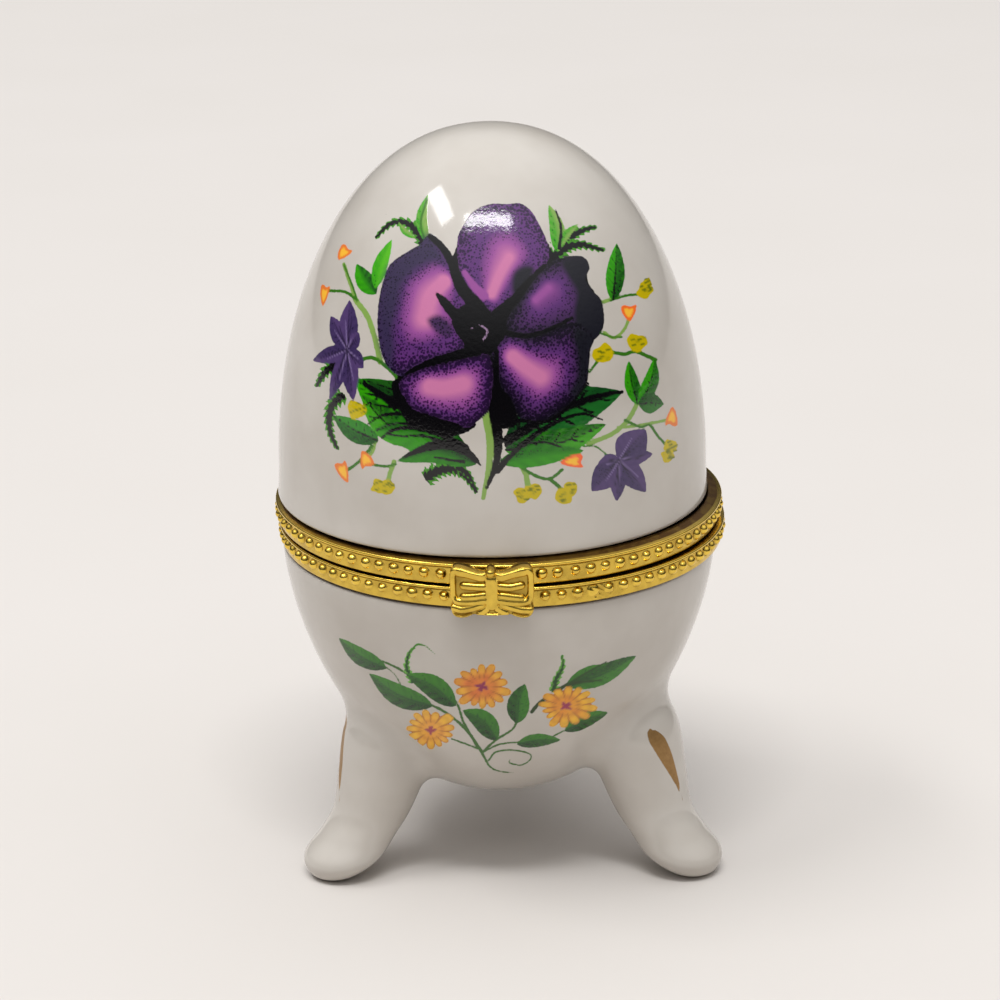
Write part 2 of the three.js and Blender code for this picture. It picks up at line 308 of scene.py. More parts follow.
def set_down(mesh: Mesh, material: Material, body: Body, slot: Slot, *nodes: str) -> Object:
    """Puts a finished mesh into the scene in place of the solids it stands for.

    Args:
        mesh: The mesh, already in its place.
        material: Its finish.
        body: The half of the box that it moves with.
        slot: The record's finish that belongs to it. Not used.
        nodes: Solids that it replaces.

    Returns:
        The new object.
    """
    piece = bpy.data.objects.new(mesh.name, mesh)
    bpy.context.scene.collection.objects.link(piece)
    mesh.materials.append(material)
    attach(piece, body.value)
    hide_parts(*nodes)
    return piece


@dataclass(frozen=True)
class GlazedPorcelain:
    """Slip-cast porcelain under a clear glaze, with transfers fired on top of it.

    The glaze is wet-looking and nearly white, a little cloudy, with a few dark specks from the
    kiln. The print sits on the glaze as a very thin film and is shaded with fine dots. Gold
    touches are rubbed and matte. Feet and necks are bare biscuit. The necks are near black:
    brown glue, darkened further as painted shade of the narrow gaps under the bezels.
    """

    name: str = "porcelain_clear_glaze_with_transfers"
    glaze: str = "#cdc7bf"
    clouded: str = "#c3bcb3"
    speck: str = "#6b5a4a"
    dots: str = "#625074"  # what a dark dot leaves of the paint under it
    ink: str = "#050407"
    gold_touch: str = "#b28c58"
    gold_worn: str = "#8a683e"
    biscuit: str = "#d9cdbd"
    # near black: brown glue, and painted shade of the narrow gaps under the bezels
    glue: str = "#20130c"
    cloud_size: float = 11.0
    clouding: Point = (0.35, 0.7)  # where in the noise the clouds start and are full
    speck_spacing: float = 4.2
    speck_size: float = 0.12
    speck_rarity: float = 0.55  # share of the places that stay without a speck
    speck_strength: float = 0.55
    dot_spacing: float = 0.33  # the real screen is finer, it is drawn as coarse as it shows
    dot_edge: float = 0.12  # softness of a dot's rim
    dot_strength: float = 0.9
    clumps: float = 0.45  # how unevenly the dots are strewn
    ragged_size: float = 0.55  # unevenness of the edges, and how far it moves each of them
    ragged_reach: tuple[tuple[str, float], ...] = (("cover", 0.2), ("ink", 0.5), ("gold", 0.12))
    edge: float = 0.05  # softness of the print's edges
    ripple_size: float = 5.0  # orange peel of the glaze
    crinkle: float = 0.8  # unevenness of the print's film
    relief: Point = (0.35, 0.06)  # strength and height of both
    brush_size: float = 0.5
    gold_metal: float = 0.6  # the gold is thin, and the glaze below shares its look
    glaze_roughness: float = 0.09
    print_roughness: float = 0.1
    gold_roughness: float = 0.42
    biscuit_roughness: float = 0.75
    ior: float = 1.5

    def material(self) -> Material:
        """Builds the finish.

        Returns:
            The material.
        """
        made, add = empty_material(self.name)
        place = add("ShaderNodeTexCoord").outputs["Object"]
        layers = {
            name: add("ShaderNodeAttribute", attribute_name=name).outputs["Fac"]
            for name in ("cover", "ink", "dots", "gold", "bare", "glue")
        }
        paint = add("ShaderNodeAttribute", attribute_name="paint").outputs["Color"]
        ragged, clouds, streaks, ripple = (
            add(
                "ShaderNodeTexNoise",
                {"Vector": place, "Scale": 1 / (size * MM), "Detail": detail, "Roughness": roughness},
            ).outputs["Fac"]
            for size, detail, roughness in (
                (self.ragged_size, 2.0, 0.6), (self.cloud_size, 3.0, 0.55),
                (self.brush_size, 4.0, 0.6), (self.ripple_size, 2.0, 0.4),
            )
        )
        specks, screen = (
            add("ShaderNodeTexVoronoi", {"Vector": place, "Scale": 1 / (spacing * MM)}).outputs
            for spacing in (self.speck_spacing, self.dot_spacing)
        )
        masks = {}
        for name, reach in self.ragged_reach:
            shifted = add(
                "ShaderNodeMath", {0: ragged, 1: reach, 2: layers[name]}, operation="MULTIPLY_ADD"
            ).outputs[0]
            masks[name] = add(
                "ShaderNodeMapRange",
                {"Value": shifted, "From Min": reach / 2 - self.edge, "From Max": reach / 2 + self.edge},
            ).outputs["Result"]
        cloudy = add(
            "ShaderNodeMapRange",
            {"Value": clouds, "From Min": self.clouding[0], "From Max": self.clouding[1]},
        ).outputs["Result"]
        colour = add(
            "ShaderNodeMix", {0: cloudy, 6: linear(self.glaze), 7: linear(self.clouded)}, data_type="RGBA"
        ).outputs[2]
        chance = add("ShaderNodeSeparateColor", {"Color": specks["Color"]}).outputs["Red"]
        reach = add(
            "ShaderNodeMapRange",
            {"Value": chance, "From Min": self.speck_rarity, "To Max": self.speck_size / self.speck_spacing},
        ).outputs["Result"]
        masks["speck"] = add(
            "ShaderNodeMath", {0: specks["Distance"], 1: reach}, operation="LESS_THAN"
        ).outputs[0]
        clumped = add(
            "ShaderNodeMath", {0: ragged, 1: self.clumps, 2: layers["dots"]}, operation="MULTIPLY_ADD"
        ).outputs[0]
        inside = add(
            "ShaderNodeMath", {0: clumped, 1: screen["Distance"]}, operation="SUBTRACT"
        ).outputs[0]
        rim = self.clumps / 2
        masks["dots"] = add(
            "ShaderNodeMapRange",
            {"Value": inside, "From Min": rim - self.dot_edge, "From Max": rim + self.dot_edge},
        ).outputs["Result"]
        speck, dot, metal = (
            add("ShaderNodeMath", {0: masks[name], 1: strength}, operation="MULTIPLY").outputs[0]
            for name, strength in (
                ("speck", self.speck_strength), ("dots", self.dot_strength), ("gold", self.gold_metal),
            )
        )
        printed = add(
            "ShaderNodeMix", {0: dot, 6: paint, 7: linear(self.dots)}, data_type="RGBA", blend_type="MULTIPLY"
        ).outputs[2]
        gold = add(
            "ShaderNodeMix", {0: streaks, 6: linear(self.gold_touch), 7: linear(self.gold_worn)},
            data_type="RGBA",
        ).outputs[2]
        for share, laid in (
            (speck, linear(self.speck)), (masks["cover"], printed), (masks["ink"], linear(self.ink)),
            (masks["gold"], gold), (layers["bare"], linear(self.biscuit)),
            # glue colour, which is also the painted shade of the gaps under the bezels
            (layers["glue"], linear(self.glue)),
        ):
            colour = add("ShaderNodeMix", {0: share, 6: colour, 7: laid}, data_type="RGBA").outputs[2]
        roughness = add(
            "ShaderNodeMapRange",
            {"Value": masks["cover"], "To Min": self.glaze_roughness, "To Max": self.print_roughness},
        ).outputs["Result"]
        for share, laid in (
            (masks["gold"], self.gold_roughness), (layers["bare"], self.biscuit_roughness),
        ):
            roughness = add("ShaderNodeMix", {0: share, 2: roughness, 3: laid}).outputs[0]
        crinkled = add(
            "ShaderNodeMath", {0: masks["cover"], 1: ragged}, operation="MULTIPLY"
        ).outputs[0]
        thickness = add(
            "ShaderNodeMath", {0: crinkled, 1: self.crinkle, 2: ripple}, operation="MULTIPLY_ADD"
        ).outputs[0]
        relief = add(
            "ShaderNodeBump",
            {"Strength": self.relief[0], "Distance": self.relief[1] * MM, "Height": thickness},
        ).outputs["Normal"]
        shader = add("ShaderNodeBsdfPrincipled", {
            "Base Color": colour, "Roughness": roughness, "Metallic": metal, "IOR": self.ior,
            "Normal": relief,
        })
        add("ShaderNodeOutputMaterial", {"Surface": shader.outputs[0]})
        return made


@dataclass(frozen=True)
class GoldPlate:
    """Gold plate on a metal: mirror-like where it is rubbed, brown and dull in the hollows."""

    name: str
    bright: str
    tarnish: str
    smooth: float  # roughness of the rubbed plate
    dull: float  # and of the tarnished plate
    patch_size: float = 2.6
    patching: Point = (0.42, 0.75)  # where in the noise the dull patches start and are full
    patch_dirt: float = 0.3
    scratch_size: float = 0.22  # finest marks from the die
    relief: Point = (0.3, 0.03)  # their strength and height

    def material(self) -> Material:
        """Builds the finish.

        Returns:
            The material.
        """
        made, add = empty_material(self.name)
        place = add("ShaderNodeTexCoord").outputs["Object"]
        hollow = add("ShaderNodeAttribute", attribute_name="hollow").outputs["Fac"]
        patches, marks = (
            add(
                "ShaderNodeTexNoise",
                {"Vector": place, "Scale": 1 / (size * MM), "Detail": detail, "Roughness": roughness},
            ).outputs["Fac"]
            for size, detail, roughness in ((self.patch_size, 4.0, 0.6), (self.scratch_size, 3.0, 0.65))
        )
        start, full = self.patching
        patched = add(
            "ShaderNodeMapRange",
            {"Value": patches, "From Min": start, "From Max": full, "To Max": self.patch_dirt},
        ).outputs["Result"]
        dirt = add(
            "ShaderNodeMath", {0: hollow, 1: patched}, operation="ADD", use_clamp=True
        ).outputs[0]
        colour = add(
            "ShaderNodeMix", {0: dirt, 6: linear(self.bright), 7: linear(self.tarnish)}, data_type="RGBA"
        ).outputs[2]
        roughness = add(
            "ShaderNodeMapRange", {"Value": dirt, "To Min": self.smooth, "To Max": self.dull}
        ).outputs["Result"]
        relief = add(
            "ShaderNodeBump", {"Strength": self.relief[0], "Distance": self.relief[1] * MM, "Height": marks}
        ).outputs["Normal"]
        shader = add(
            "ShaderNodeBsdfPrincipled",
            {"Base Color": colour, "Roughness": roughness, "Metallic": 1.0, "Normal": relief},
        )
        add("ShaderNodeOutputMaterial", {"Surface": shader.outputs[0]})
        return made


@dataclass(frozen=True)
class BackdropPaper:
    """Smooth off-white paper, matt, with the faintest unevenness of its fibres."""

    name: str = "backdrop_paper"
    colour: str = "#dcd7d3"
    fibre: str = "#d9d4cf"
    fibre_size: float = 60.0
    roughness: float = 0.9
    shine: float = 0.2

    def material(self) -> Material:
        """Builds the finish.

        Returns:
            The material.
        """
        made, add = empty_material(self.name)
        place = add("ShaderNodeTexCoord").outputs["Object"]
        uneven = add(
            "ShaderNodeTexNoise", {"Vector": place, "Scale": 1 / (self.fibre_size * MM), "Detail": 2.0}
        ).outputs["Fac"]
        colour = add(
            "ShaderNodeMix", {0: uneven, 6: linear(self.colour), 7: linear(self.fibre)}, data_type="RGBA"
        ).outputs[2]
        shader = add(
            "ShaderNodeBsdfPrincipled",
            {"Base Color": colour, "Roughness": self.roughness, "Specular IOR Level": self.shine},
        )
        add("ShaderNodeOutputMaterial", {"Surface": shader.outputs[0]})
        return made


@dataclass(frozen=True)
class Press:
    """How a flat transfer is laid on the egg from the front, tilted back a little."""

    middle: Point  # the sheet's own origin, across and up from the aim
    aim_height: float = AIM_HEIGHT
    lean: float = VIEW_TILT
    reach: float = VIEW_REACH  # distance from which the sheet spreads onto the egg

    def flatten(self, points: Array) -> tuple[Array, Array]:
        """Finds where points of the egg lie on the flat sheet.

        Args:
            points: Points of the egg, one row each.

        Returns:
            Across and up on the sheet.
        """
        lean = math.radians(self.lean)
        up = points[:, 1] * math.sin(lean) + (points[:, 2] - self.aim_height) * math.cos(lean)
        toward = -points[:, 1] * math.cos(lean) + (points[:, 2] - self.aim_height) * math.sin(lean)
        spread = self.reach / (self.reach - toward)
        return points[:, 0] * spread - self.middle[0], up * spread - self.middle[1]


class Sheet:
    """A printed transfer, drawn flat in millimetres and read at the egg's own points.

    Every shape is laid over those before it. The sheet keeps a colour for each point, how far
    the point is in from the edge of the paint and of the black ink, and how dense the dots are.
    """

    SPREAD = 0.5  # colour reaches this far past an edge, so that the edge itself stays pure
    SOFT = 0.08   # half the width over which a shape fades into paint below it
    INK = 0.003   # paint under the ink, in linear light
    RIBS = 5.5  # ribs along half a leaf, and how far each slants back
    SLANT = 0.8
    DOTS = (0.9, 0.12)  # radius of a dot at a density of 1, and what is taken off so that 0 gives none

    def __init__(self, across: Array, up: Array) -> None:
        """Starts an empty sheet.

        Args:
            across: Across, for each point.
            up: Up, for each point.
        """
        self.x, self.y = across, up
        self.colour = np.ones((len(across), 3))
        self.cover = np.full(len(across), -FAR)
        self.ink = np.full(len(across), -FAR)
        self.dots = np.zeros(len(across))

    def near(self, shape: Array, margin: float) -> Array:
        """Picks the points within a margin of a shape's own box."""
        low, high = shape.min(axis=0) - margin, shape.max(axis=0) + margin
        return np.flatnonzero(
            (self.x > low[0]) & (self.x < high[0]) & (self.y > low[1]) & (self.y < high[1])
        )

    def lay(
        self, rows: Array, inside: Array, colour: Array, dots: Array | float = 0.0, soft: float = SOFT
    ) -> None:
        """Lays paint over what is there.

        Args:
            rows: Points that the shape may reach.
            inside: Distance in from the shape's edge at each of them.
            colour: One colour, or one for each point.
            dots: Density of the dark dots.
            soft: Half the width over which the shape fades into paint below it.
        """
        covered = self.cover[rows] > 0
        spread = (inside > -self.SPREAD) & (inside > self.cover[rows])
        share = np.where(covered, ease(inside, -soft, soft), spread.astype(float))
        self.colour[rows] = blend(self.colour[rows], colour, share)
        self.dots[rows] += (dots - self.dots[rows]) * share
        self.ink[rows] = np.minimum(self.ink[rows], -inside)
        self.cover[rows] = np.maximum(self.cover[rows], inside)

    def fill(
        self, rows: Array, inside: Array, colour: str | None, dots: float = 0.0, soft: float = SOFT
    ) -> None:
        """Lays one plain colour, or black ink without a colour. The arguments are those of lay."""
        if colour is None:
            self.lay(rows, inside, np.full(3, self.INK), 0.0, soft)
            self.ink[rows] = np.maximum(self.ink[rows], inside)
        else:
            self.lay(rows, inside, rgb(colour), dots, soft)

    def stroke(
        self, points: Sequence[Point], width: float, colour: str | None, ends: Point = (1.0, 1.0)
    ) -> None:
        """Draws a smooth stroke in paint, or in black ink without a colour.

        Args:
            points: Places that the stroke passes.
            width: Full width.
            colour: Hex colour, or None for ink.
            ends: Share of the width at the start and at the end.
        """
        line = curve_through(points)
        rows = self.near(line, width + self.SPREAD)
        away, _, share = measure(self.x[rows], self.y[rows], line)
        inside = width / 2 * (ends[0] + (ends[1] - ends[0]) * share) - away
        self.fill(rows, inside, colour)

    def patch(
        self, points: Sequence[Point] | Array, colour: str | None, soft: float = SOFT, dots: float = 0.0
    ) -> None:
        """Fills a smooth outline with paint, or with black ink without a colour.

        Args:
            points: Places round the outline.
            colour: Hex colour, or None for ink.
            soft: Half the width over which it fades into paint below it.
            dots: Density of its dark dots.
        """
        outline = curve_through(points, closed=True)
        rows = self.near(outline, self.SPREAD)
        inside = inside_outline(self.x[rows], self.y[rows], outline)
        self.fill(rows, inside, colour, dots, soft)

    def frond(self, points: Sequence[Point], width: float, colour: str | None, teeth: float = 0.9) -> None:
        """Draws a feathery frond: a stroke with slanting teeth on both sides.

        Args:
            points: Places that its spine passes.
            width: Width across the teeth at the root.
            colour: Hex colour, or None for ink.
            teeth: Distance between teeth.
        """
        line = curve_through(points)
        rows = self.near(line, width + self.SPREAD)
        away, side, share = measure(self.x[rows], self.y[rows], line)
        along = share * np.hypot(*np.diff(line, axis=0).T).sum()
        wave = (along - away * 0.9 + side * teeth / 4) / teeth
        reach = width / 2 * (1 - 0.7 * share) * (0.4 + 0.6 * np.abs(2 * (wave % 1) - 1))
        self.fill(rows, np.where((share <= 0) | (share >= 1), -away, reach - away), colour)

    def leaf(
        self, root: Point, tip: Point, width: float, bend: float, light: str, dark: str, veins: float = 0.0,
        vein_colour: str | None = None, shaded: int = 1,
    ) -> None:
        """Draws a pointed leaf, darker on one side of its spine, with veins.

        Args:
            root: Where the leaf leaves its stem.
            tip: Its point.
            width: Greatest width.
            bend: How far the spine bows out to the left of the way from root to tip.
            light: Colour of the lighter half.
            dark: Colour of the darker half and of the root.
            veins: Width of the spine's line, 0 for none.
            vein_colour: Colour of the veins, or None for ink.
            shaded: +1 if the left half is the darker one, -1 for the right half.
        """
        start, end = np.array(root), np.array(tip)
        way = end - start
        bow = (start + end) / 2 + np.array([-way[1], way[0]]) / np.hypot(*way) * bend
        line = curve_through([root, tuple(bow), tip], steps=7)
        rows = self.near(line, width / 2 + self.SPREAD)
        away, side, share = measure(self.x[rows], self.y[rows], line)
        half = width / 2 * np.clip(np.sin(np.pi * share**0.8), 0, 1) ** 0.8
        inside = half - away
        reach = np.clip(away / np.maximum(half, 0.05), 0, 1)
        phase = share * self.RIBS - reach * self.SLANT
        ribs = 0.5 + 0.5 * np.cos(2 * np.pi * phase)
        shade = 0.5 + 0.5 * shaded * side * ease(reach, 0.0, 0.3)
        shade = np.clip(0.7 * shade + 0.4 * (1 - share) ** 2 + 0.5 * (ribs - 0.5) * reach, 0, 1)
        tint = blend(rgb(light), rgb(dark), shade)
        self.lay(rows, inside, tint, 0.5 * shade**1.5 * ease(reach, 1.0, 0.6))
        if veins > 0:
            spine = veins / 2 * (1.15 - share) - away
            rib = veins * 0.32 * (1 - 0.4 * share) - np.abs(phase % 1 - 0.5) * 1.6
            rib = np.where((share > 0.12) & (reach < 0.72), rib, -FAR)
            vein = np.minimum(np.maximum(spine, rib), inside)
            self.fill(rows, np.where(inside > 0, vein, -FAR), vein_colour)

    def petal(
        self, outline: Sequence[Point], heart: Sequence[Point], heart_width: float, colours: Sequence[str],
        dots: float,
    ) -> None:
        """Draws a shaded petal, glowing along its heart and dark towards its edge.

        Args:
            outline: Places round the petal's edge.
            heart: Line along which the petal is lightest.
            heart_width: Width of the light part.
            colours: From the heart to the edge.
            dots: Density of the dots half way between.
        """
        edge = curve_through(outline, closed=True)
        rows = self.near(edge, self.SPREAD)
        inside = inside_outline(self.x[rows], self.y[rows], edge)
        away, _, _ = measure(self.x[rows], self.y[rows], curve_through(heart))
        out = np.maximum(away - heart_width / 2, 0)
        level = out / np.maximum(out + np.maximum(inside, 0), 1e-3) * (len(colours) - 1)
        tones = np.array([rgb(c) for c in colours])
        below = np.clip(level.astype(int), 0, len(colours) - 2)
        tint = blend(tones[below], tones[below + 1], level - below)
        share = level / (len(colours) - 1)
        self.lay(rows, inside, tint, dots * (0.6 * ease(share, 0.04, 0.45) + 0.4 * ease(share, 0.5, 1.0)))

    def bud(self, middle: Point, size: Point, turn: float, rim: str, heart: str) -> None:
        """Draws a small bell-shaped bud, wide at its mouth, with a darker rim.

        Args:
            middle: Its middle.
            size: Half length and half width.
            turn: Direction in which the mouth points, from straight up, anticlockwise.
            rim: Colour of the rim.
            heart: Colour inside.
        """
        c, s = math.cos(math.radians(turn)), math.sin(math.radians(turn))
        shape = np.array((
            (0.0, -1.0), (0.5, -0.5), (0.85, 0.2), (0.95, 0.9), (0.3, 0.75), (-0.35, 0.95), (-0.9, 0.75),
            (-0.7, -0.2),
        )) * (size[1], size[0]) @ np.array(((c, s), (-s, c)))
        for scale, colour in ((1.16, rim), (0.66, heart)):
            self.patch(shape * scale + middle, colour)

    def tuft(self, middle: Point, half: float, colour: str, mark_colour: str, seed: int) -> None:
        """Draws a small ragged cluster of florets with a few dark marks.

        Args:
            middle: Its middle.
            half: Half its size.
            colour: Colour of the florets.
            mark_colour: Colour of the marks.
            seed: Seed of its ragged outline.
        """
        rng = np.random.default_rng(seed)
        florets, marks = 9, 7
        angles = np.linspace(0, 2 * np.pi, florets, endpoint=False)
        reach = half * rng.uniform(0.85, 1.35, florets)
        outline = [(middle[0] + r * math.cos(a), middle[1] + r * math.sin(a)) for a, r in zip(angles, reach)]
        self.patch(outline, colour)
        for _ in range(marks):
            x, y = rng.uniform(-0.75, 0.75, 2) * half
            spot = (middle[0] + x, middle[1] + y)
            self.stroke([spot, (spot[0] + 0.4, spot[1] + 0.1)], 0.2, mark_colour)

    def star(self, middle: Point, tips: Sequence[tuple[Point, float]], colours: Sequence[str]) -> None:
        """Draws a small flower of pointed petals with light veins.

        Args:
            middle: Where its petals meet.
            tips: Tip and width of each petal.
            colours: Light, dark, dark vein and light vein.
        """
        for index, (tip, width) in enumerate(tips):
            self.leaf(middle, tip, width, 0.0, colours[0], colours[1], 0.0, None, 1 if index % 2 else -1)
        for tip, width in tips:
            way = np.array(tip) - middle
            across = np.array((-way[1], way[0])) / np.hypot(*way) * width
            for side, reach, colour in (
                (0.0, 0.8, colours[2]), (0.16, 0.6, colours[3]), (-0.16, 0.66, colours[2]),
            ):
                self.stroke([middle, middle + reach * way + side * across], 0.2, colour, (1.0, 0.3))

    def daisy(self, middle: Point, size: Point, petals: int, colours: Sequence[str], seed: int) -> None:
        """Draws a many-petalled daisy with a small ragged heart.

        Args:
            middle: Its middle.
            size: Half width and half height.
            petals: Number of petals.
            colours: Tips, petals, lines between petals, and heart.
            seed: Seed of its unevenness.
        """
        rng = np.random.default_rng(seed)
        box = np.array([middle, middle]) + np.array([[-1, -1], [1, 1]]) * np.array(size) * 1.2
        rows = self.near(box, self.SPREAD)
        x, y = (self.x[rows] - middle[0]) / size[0], (self.y[rows] - middle[1]) / size[1]
        angle, reach = np.arctan2(y, x), np.hypot(x, y)
        turn = (angle / (2 * np.pi) * petals + 0.25 * np.sin(2 * angle + seed)) % petals
        petal = turn.astype(int) % petals
        across = np.abs(turn % 1 - 0.5) * 2
        lengths, tones_shift = rng.uniform(0.84, 1.08, petals), rng.uniform(-0.3, 0.3, petals)
        outline = lengths[petal] * (1 - 0.27 * across**2.6)
        inside = (outline - reach) * (size[0] + size[1]) / 2
        tones = [rgb(c) for c in colours]
        tint = blend(tones[1], tones[0], np.clip(ease(reach, 0.3, 0.9) + tones_shift[petal], 0, 1))
        between = ease(across, 0.62, 0.95) * ease(reach, 0.2, 0.5)
        rim = 1 - ease(np.abs(inside - 0.12), 0.0, 0.16)
        tint = blend(tint, tones[2], np.clip(0.85 * (between + 0.8 * rim), 0, 1))
        ring = 0.5 + 0.5 * np.cos(2 * np.pi * (reach + 0.08 * across) / 0.42)
        tint = blend(tint, tones[2], 0.3 * ring * ease(reach, 0.3, 0.45))
        heart = 0.12 + 0.05 * np.sin(4 * angle + seed) + 0.03 * np.sin(7 * angle)
        tint = blend(tint, tones[3], 1 - ease(reach, heart, heart + 0.1))
        self.lay(rows, inside, tint)

    def save(self, mesh: Mesh, rows: Array) -> None:
        """Stores the finished sheet on a mesh.

        Args:
            mesh: The mesh.
            rows: Points of the mesh that the sheet covers.
        """
        count = len(mesh.vertices)
        values = {"cover": np.full(count, -FAR), "ink": np.full(count, -FAR), "dots": np.full(count, -1.0)}
        paint = np.ones((count, 3))
        paint[rows] = self.colour
        values["cover"][rows], values["ink"][rows] = self.cover, self.ink
        values["dots"][rows] = self.dots * self.DOTS[0] - self.DOTS[1]
        for name, layer in values.items():
            mark(mesh, name, layer)
        mark(mesh, "paint", paint)


@dataclass(frozen=True)
class EggHalf:
    """One end of the egg, a superellipse turned about the upright axis."""

    radius: float
    rise: float  # from the widest place to the pole
    base: float  # height of the widest place
    pole_power: float  # how flat the pole is
    side_power: float  # how full the sides are
    up: int  # +1 for the upper end, -1 for the lower one

    def profile(self, coarse: float, fine: float = 0.0, fine_heights: Point = (0.0, 0.0)) -> list[Point]:
        """Spaces points along the curve from its pole to its widest place.

        Args:
            coarse: Distance between points.
            fine: Closer distance, used between the fine heights.
            fine_heights: Lowest and highest height that need it.

        Returns:
            Radius and height of each point.
        """
        share = np.cos(np.linspace(0, np.pi / 2, 4000))
        radius = self.radius * (1 - share**self.pole_power) ** (1 / self.side_power)
        height = self.base + self.up * share * self.rise
        step = np.hypot(np.diff(radius), np.diff(height))
        middle = (height[1:] + height[:-1]) / 2
        needed = (middle > fine_heights[0]) & (middle < fine_heights[1])
        count = np.concatenate([[0], np.cumsum(step / np.where(needed, fine or coarse, coarse))])
        at = np.linspace(0, count[-1], max(int(round(count[-1])), 2) + 1)
        return list(zip(np.interp(at, count, radius), np.interp(at, count, height)))

    def depth(self, points: Array) -> tuple[Array, Array]:
        """Signed distance outside this surface, and its outward direction.

        Args:
            points: Points near the surface, on this end of the egg.

        Returns:
            Distance for each point, and the unit direction for each point.
        """
        around = np.maximum(np.hypot(points[:, 0], points[:, 1]), 1e-6)
        level = np.maximum((points[:, 2] - self.base) * self.up, 1e-6)
        value = (around / self.radius) ** self.side_power + (level / self.rise) ** self.pole_power - 1
        out = self.side_power / self.radius * (around / self.radius) ** (self.side_power - 1)
        rise = self.up * self.pole_power / self.rise * (level / self.rise) ** (self.pole_power - 1)
        slope = np.column_stack([out * points[:, 0] / around, out * points[:, 1] / around, rise])
        size = np.linalg.norm(slope, axis=1)
        return value / size, slope / size[:, None]

    def press(self, points: Array, out: float = 0.0) -> Array:
        """Moves points onto this surface, or a little outside it."""
        for _ in range(5):
            distance, direction = self.depth(points)
            points = points - direction * (distance - out)[:, None]
        return points


def rounded(corner: Point, before: Point, after: Point, radius: float, steps: int = 4) -> list[Point]:
    """Rounds the corner between two straight runs of a profile.

    Args:
        corner: The sharp corner.
        before: A point on the run that comes in.
        after: A point on the run that goes out.
        radius: How far from the corner the rounding starts.
        steps: Points on the rounding.

    Returns:
        Points of the rounded corner, in order.
    """
    c, a, b = (np.array(p, float) for p in (corner, before, after))
    a = c + (a - c) / np.linalg.norm(a - c) * radius
    b = c + (b - c) / np.linalg.norm(b - c) * radius
    t = np.linspace(0, 1, steps + 1)[:, None]
    return [tuple(p) for p in (1 - t) ** 2 * a + 2 * t * (1 - t) * c + t**2 * b]


@dataclass(frozen=True)
class LidShell:
    """Upper half of the egg: a hollow porcelain dome with a thinner neck inside its bezel."""

    radius: float = 28.3
    edge_radius: float = 28.5
    waist_height: float = 53.85
    dome_height: float = 45.0
    pole_power: float = 2.0
    side_power: float = 2.18
    wall: float = 2.6
    edge_height: float = 49.9
    neck_radius: float = 27.43
    neck_wall: float = 2.0
    neck_bottom: float = 47.5
    shift: float = -0.77
    printed: Point = (55.5, 95.0)  # heights that the transfer covers
    printed_arc: tuple[float, float] = (-68.0, 62.0)
    fine: float = 0.23
    press: Press = Press(middle=(-1.97, 23.02))

    def build(self, finish: Material) -> Object:
        """Makes the dome and prints its transfer.

        Args:
            finish: The porcelain's finish.

        Returns:
            The lid.
        """
        outside, inside = (
            EggHalf(
                self.radius - wall, self.dome_height - wall, self.waist_height, self.pole_power,
                self.side_power, 1,
            )
            for wall in (0.0, self.wall)
        )
        edge = (self.edge_radius, self.edge_height)
        neck_top = (self.neck_radius, self.edge_height)
        neck_in = (self.neck_radius - self.neck_wall, self.neck_bottom)
        profile = [
            *outside.profile(1.2, self.fine, self.printed),
            (self.radius + 0.06, self.waist_height - 1.4),
            (self.radius + 0.15, self.waist_height - 2.7),
            *rounded(edge, (self.edge_radius, self.waist_height), neck_top, 0.55, 5),
            neck_top,
            *rounded((self.neck_radius, self.neck_bottom), neck_top, neck_in, 0.3, 2),
            *rounded(neck_in, (self.neck_radius, self.neck_bottom), (neck_in[0], self.edge_height), 0.4, 2),
            *reversed(inside.profile(2.4)),
        ]
        first, last = self.printed_arc
        wedges = round(math.radians(last - first) * self.radius / self.fine / 10)
        arcs = [(last - first, wedges, 10), (360 - last + first, 7, 12)]
        mesh = to_mesh(turned(profile, arcs, first), "lid_porcelain")
        points = places(mesh) + np.array([self.shift, 0, 0])
        move_to(mesh, points)
        around = azimuth_of(points, self.shift)
        reach = np.hypot(points[:, 0] - self.shift, points[:, 1])
        distance, _ = outside.depth(points - np.array([self.shift, 0, 0]))
        rows = np.flatnonzero(
            (around > first - 0.5) & (around < last + 0.5) & (distance > -0.5)
            & (points[:, 2] > self.printed[0] - 0.5) & (points[:, 2] < self.printed[1] + 0.5)
        )
        sheet = Sheet(*self.press.flatten(points[rows]))
        print_pansy(sheet)
        sheet.save(mesh, rows)
        # neck and underside of the edge take the glue colour: glue, and painted shade of the gap inside the
        # bezel
        neck = (points[:, 2] < self.edge_height + 0.02) & (reach < self.edge_radius - 0.1)
        mark(mesh, "glue", np.where(neck & (reach > self.neck_radius - 0.5), 1.0, 0.0))
        mark(mesh, "bare", np.where(points[:, 2] < self.neck_bottom + 0.3, 1.0, 0.0))
        mark(mesh, "gold", np.full(len(points), -FAR))
        return set_down(mesh, finish, Body.LID, Slot.PORCELAIN, "lid_shell")


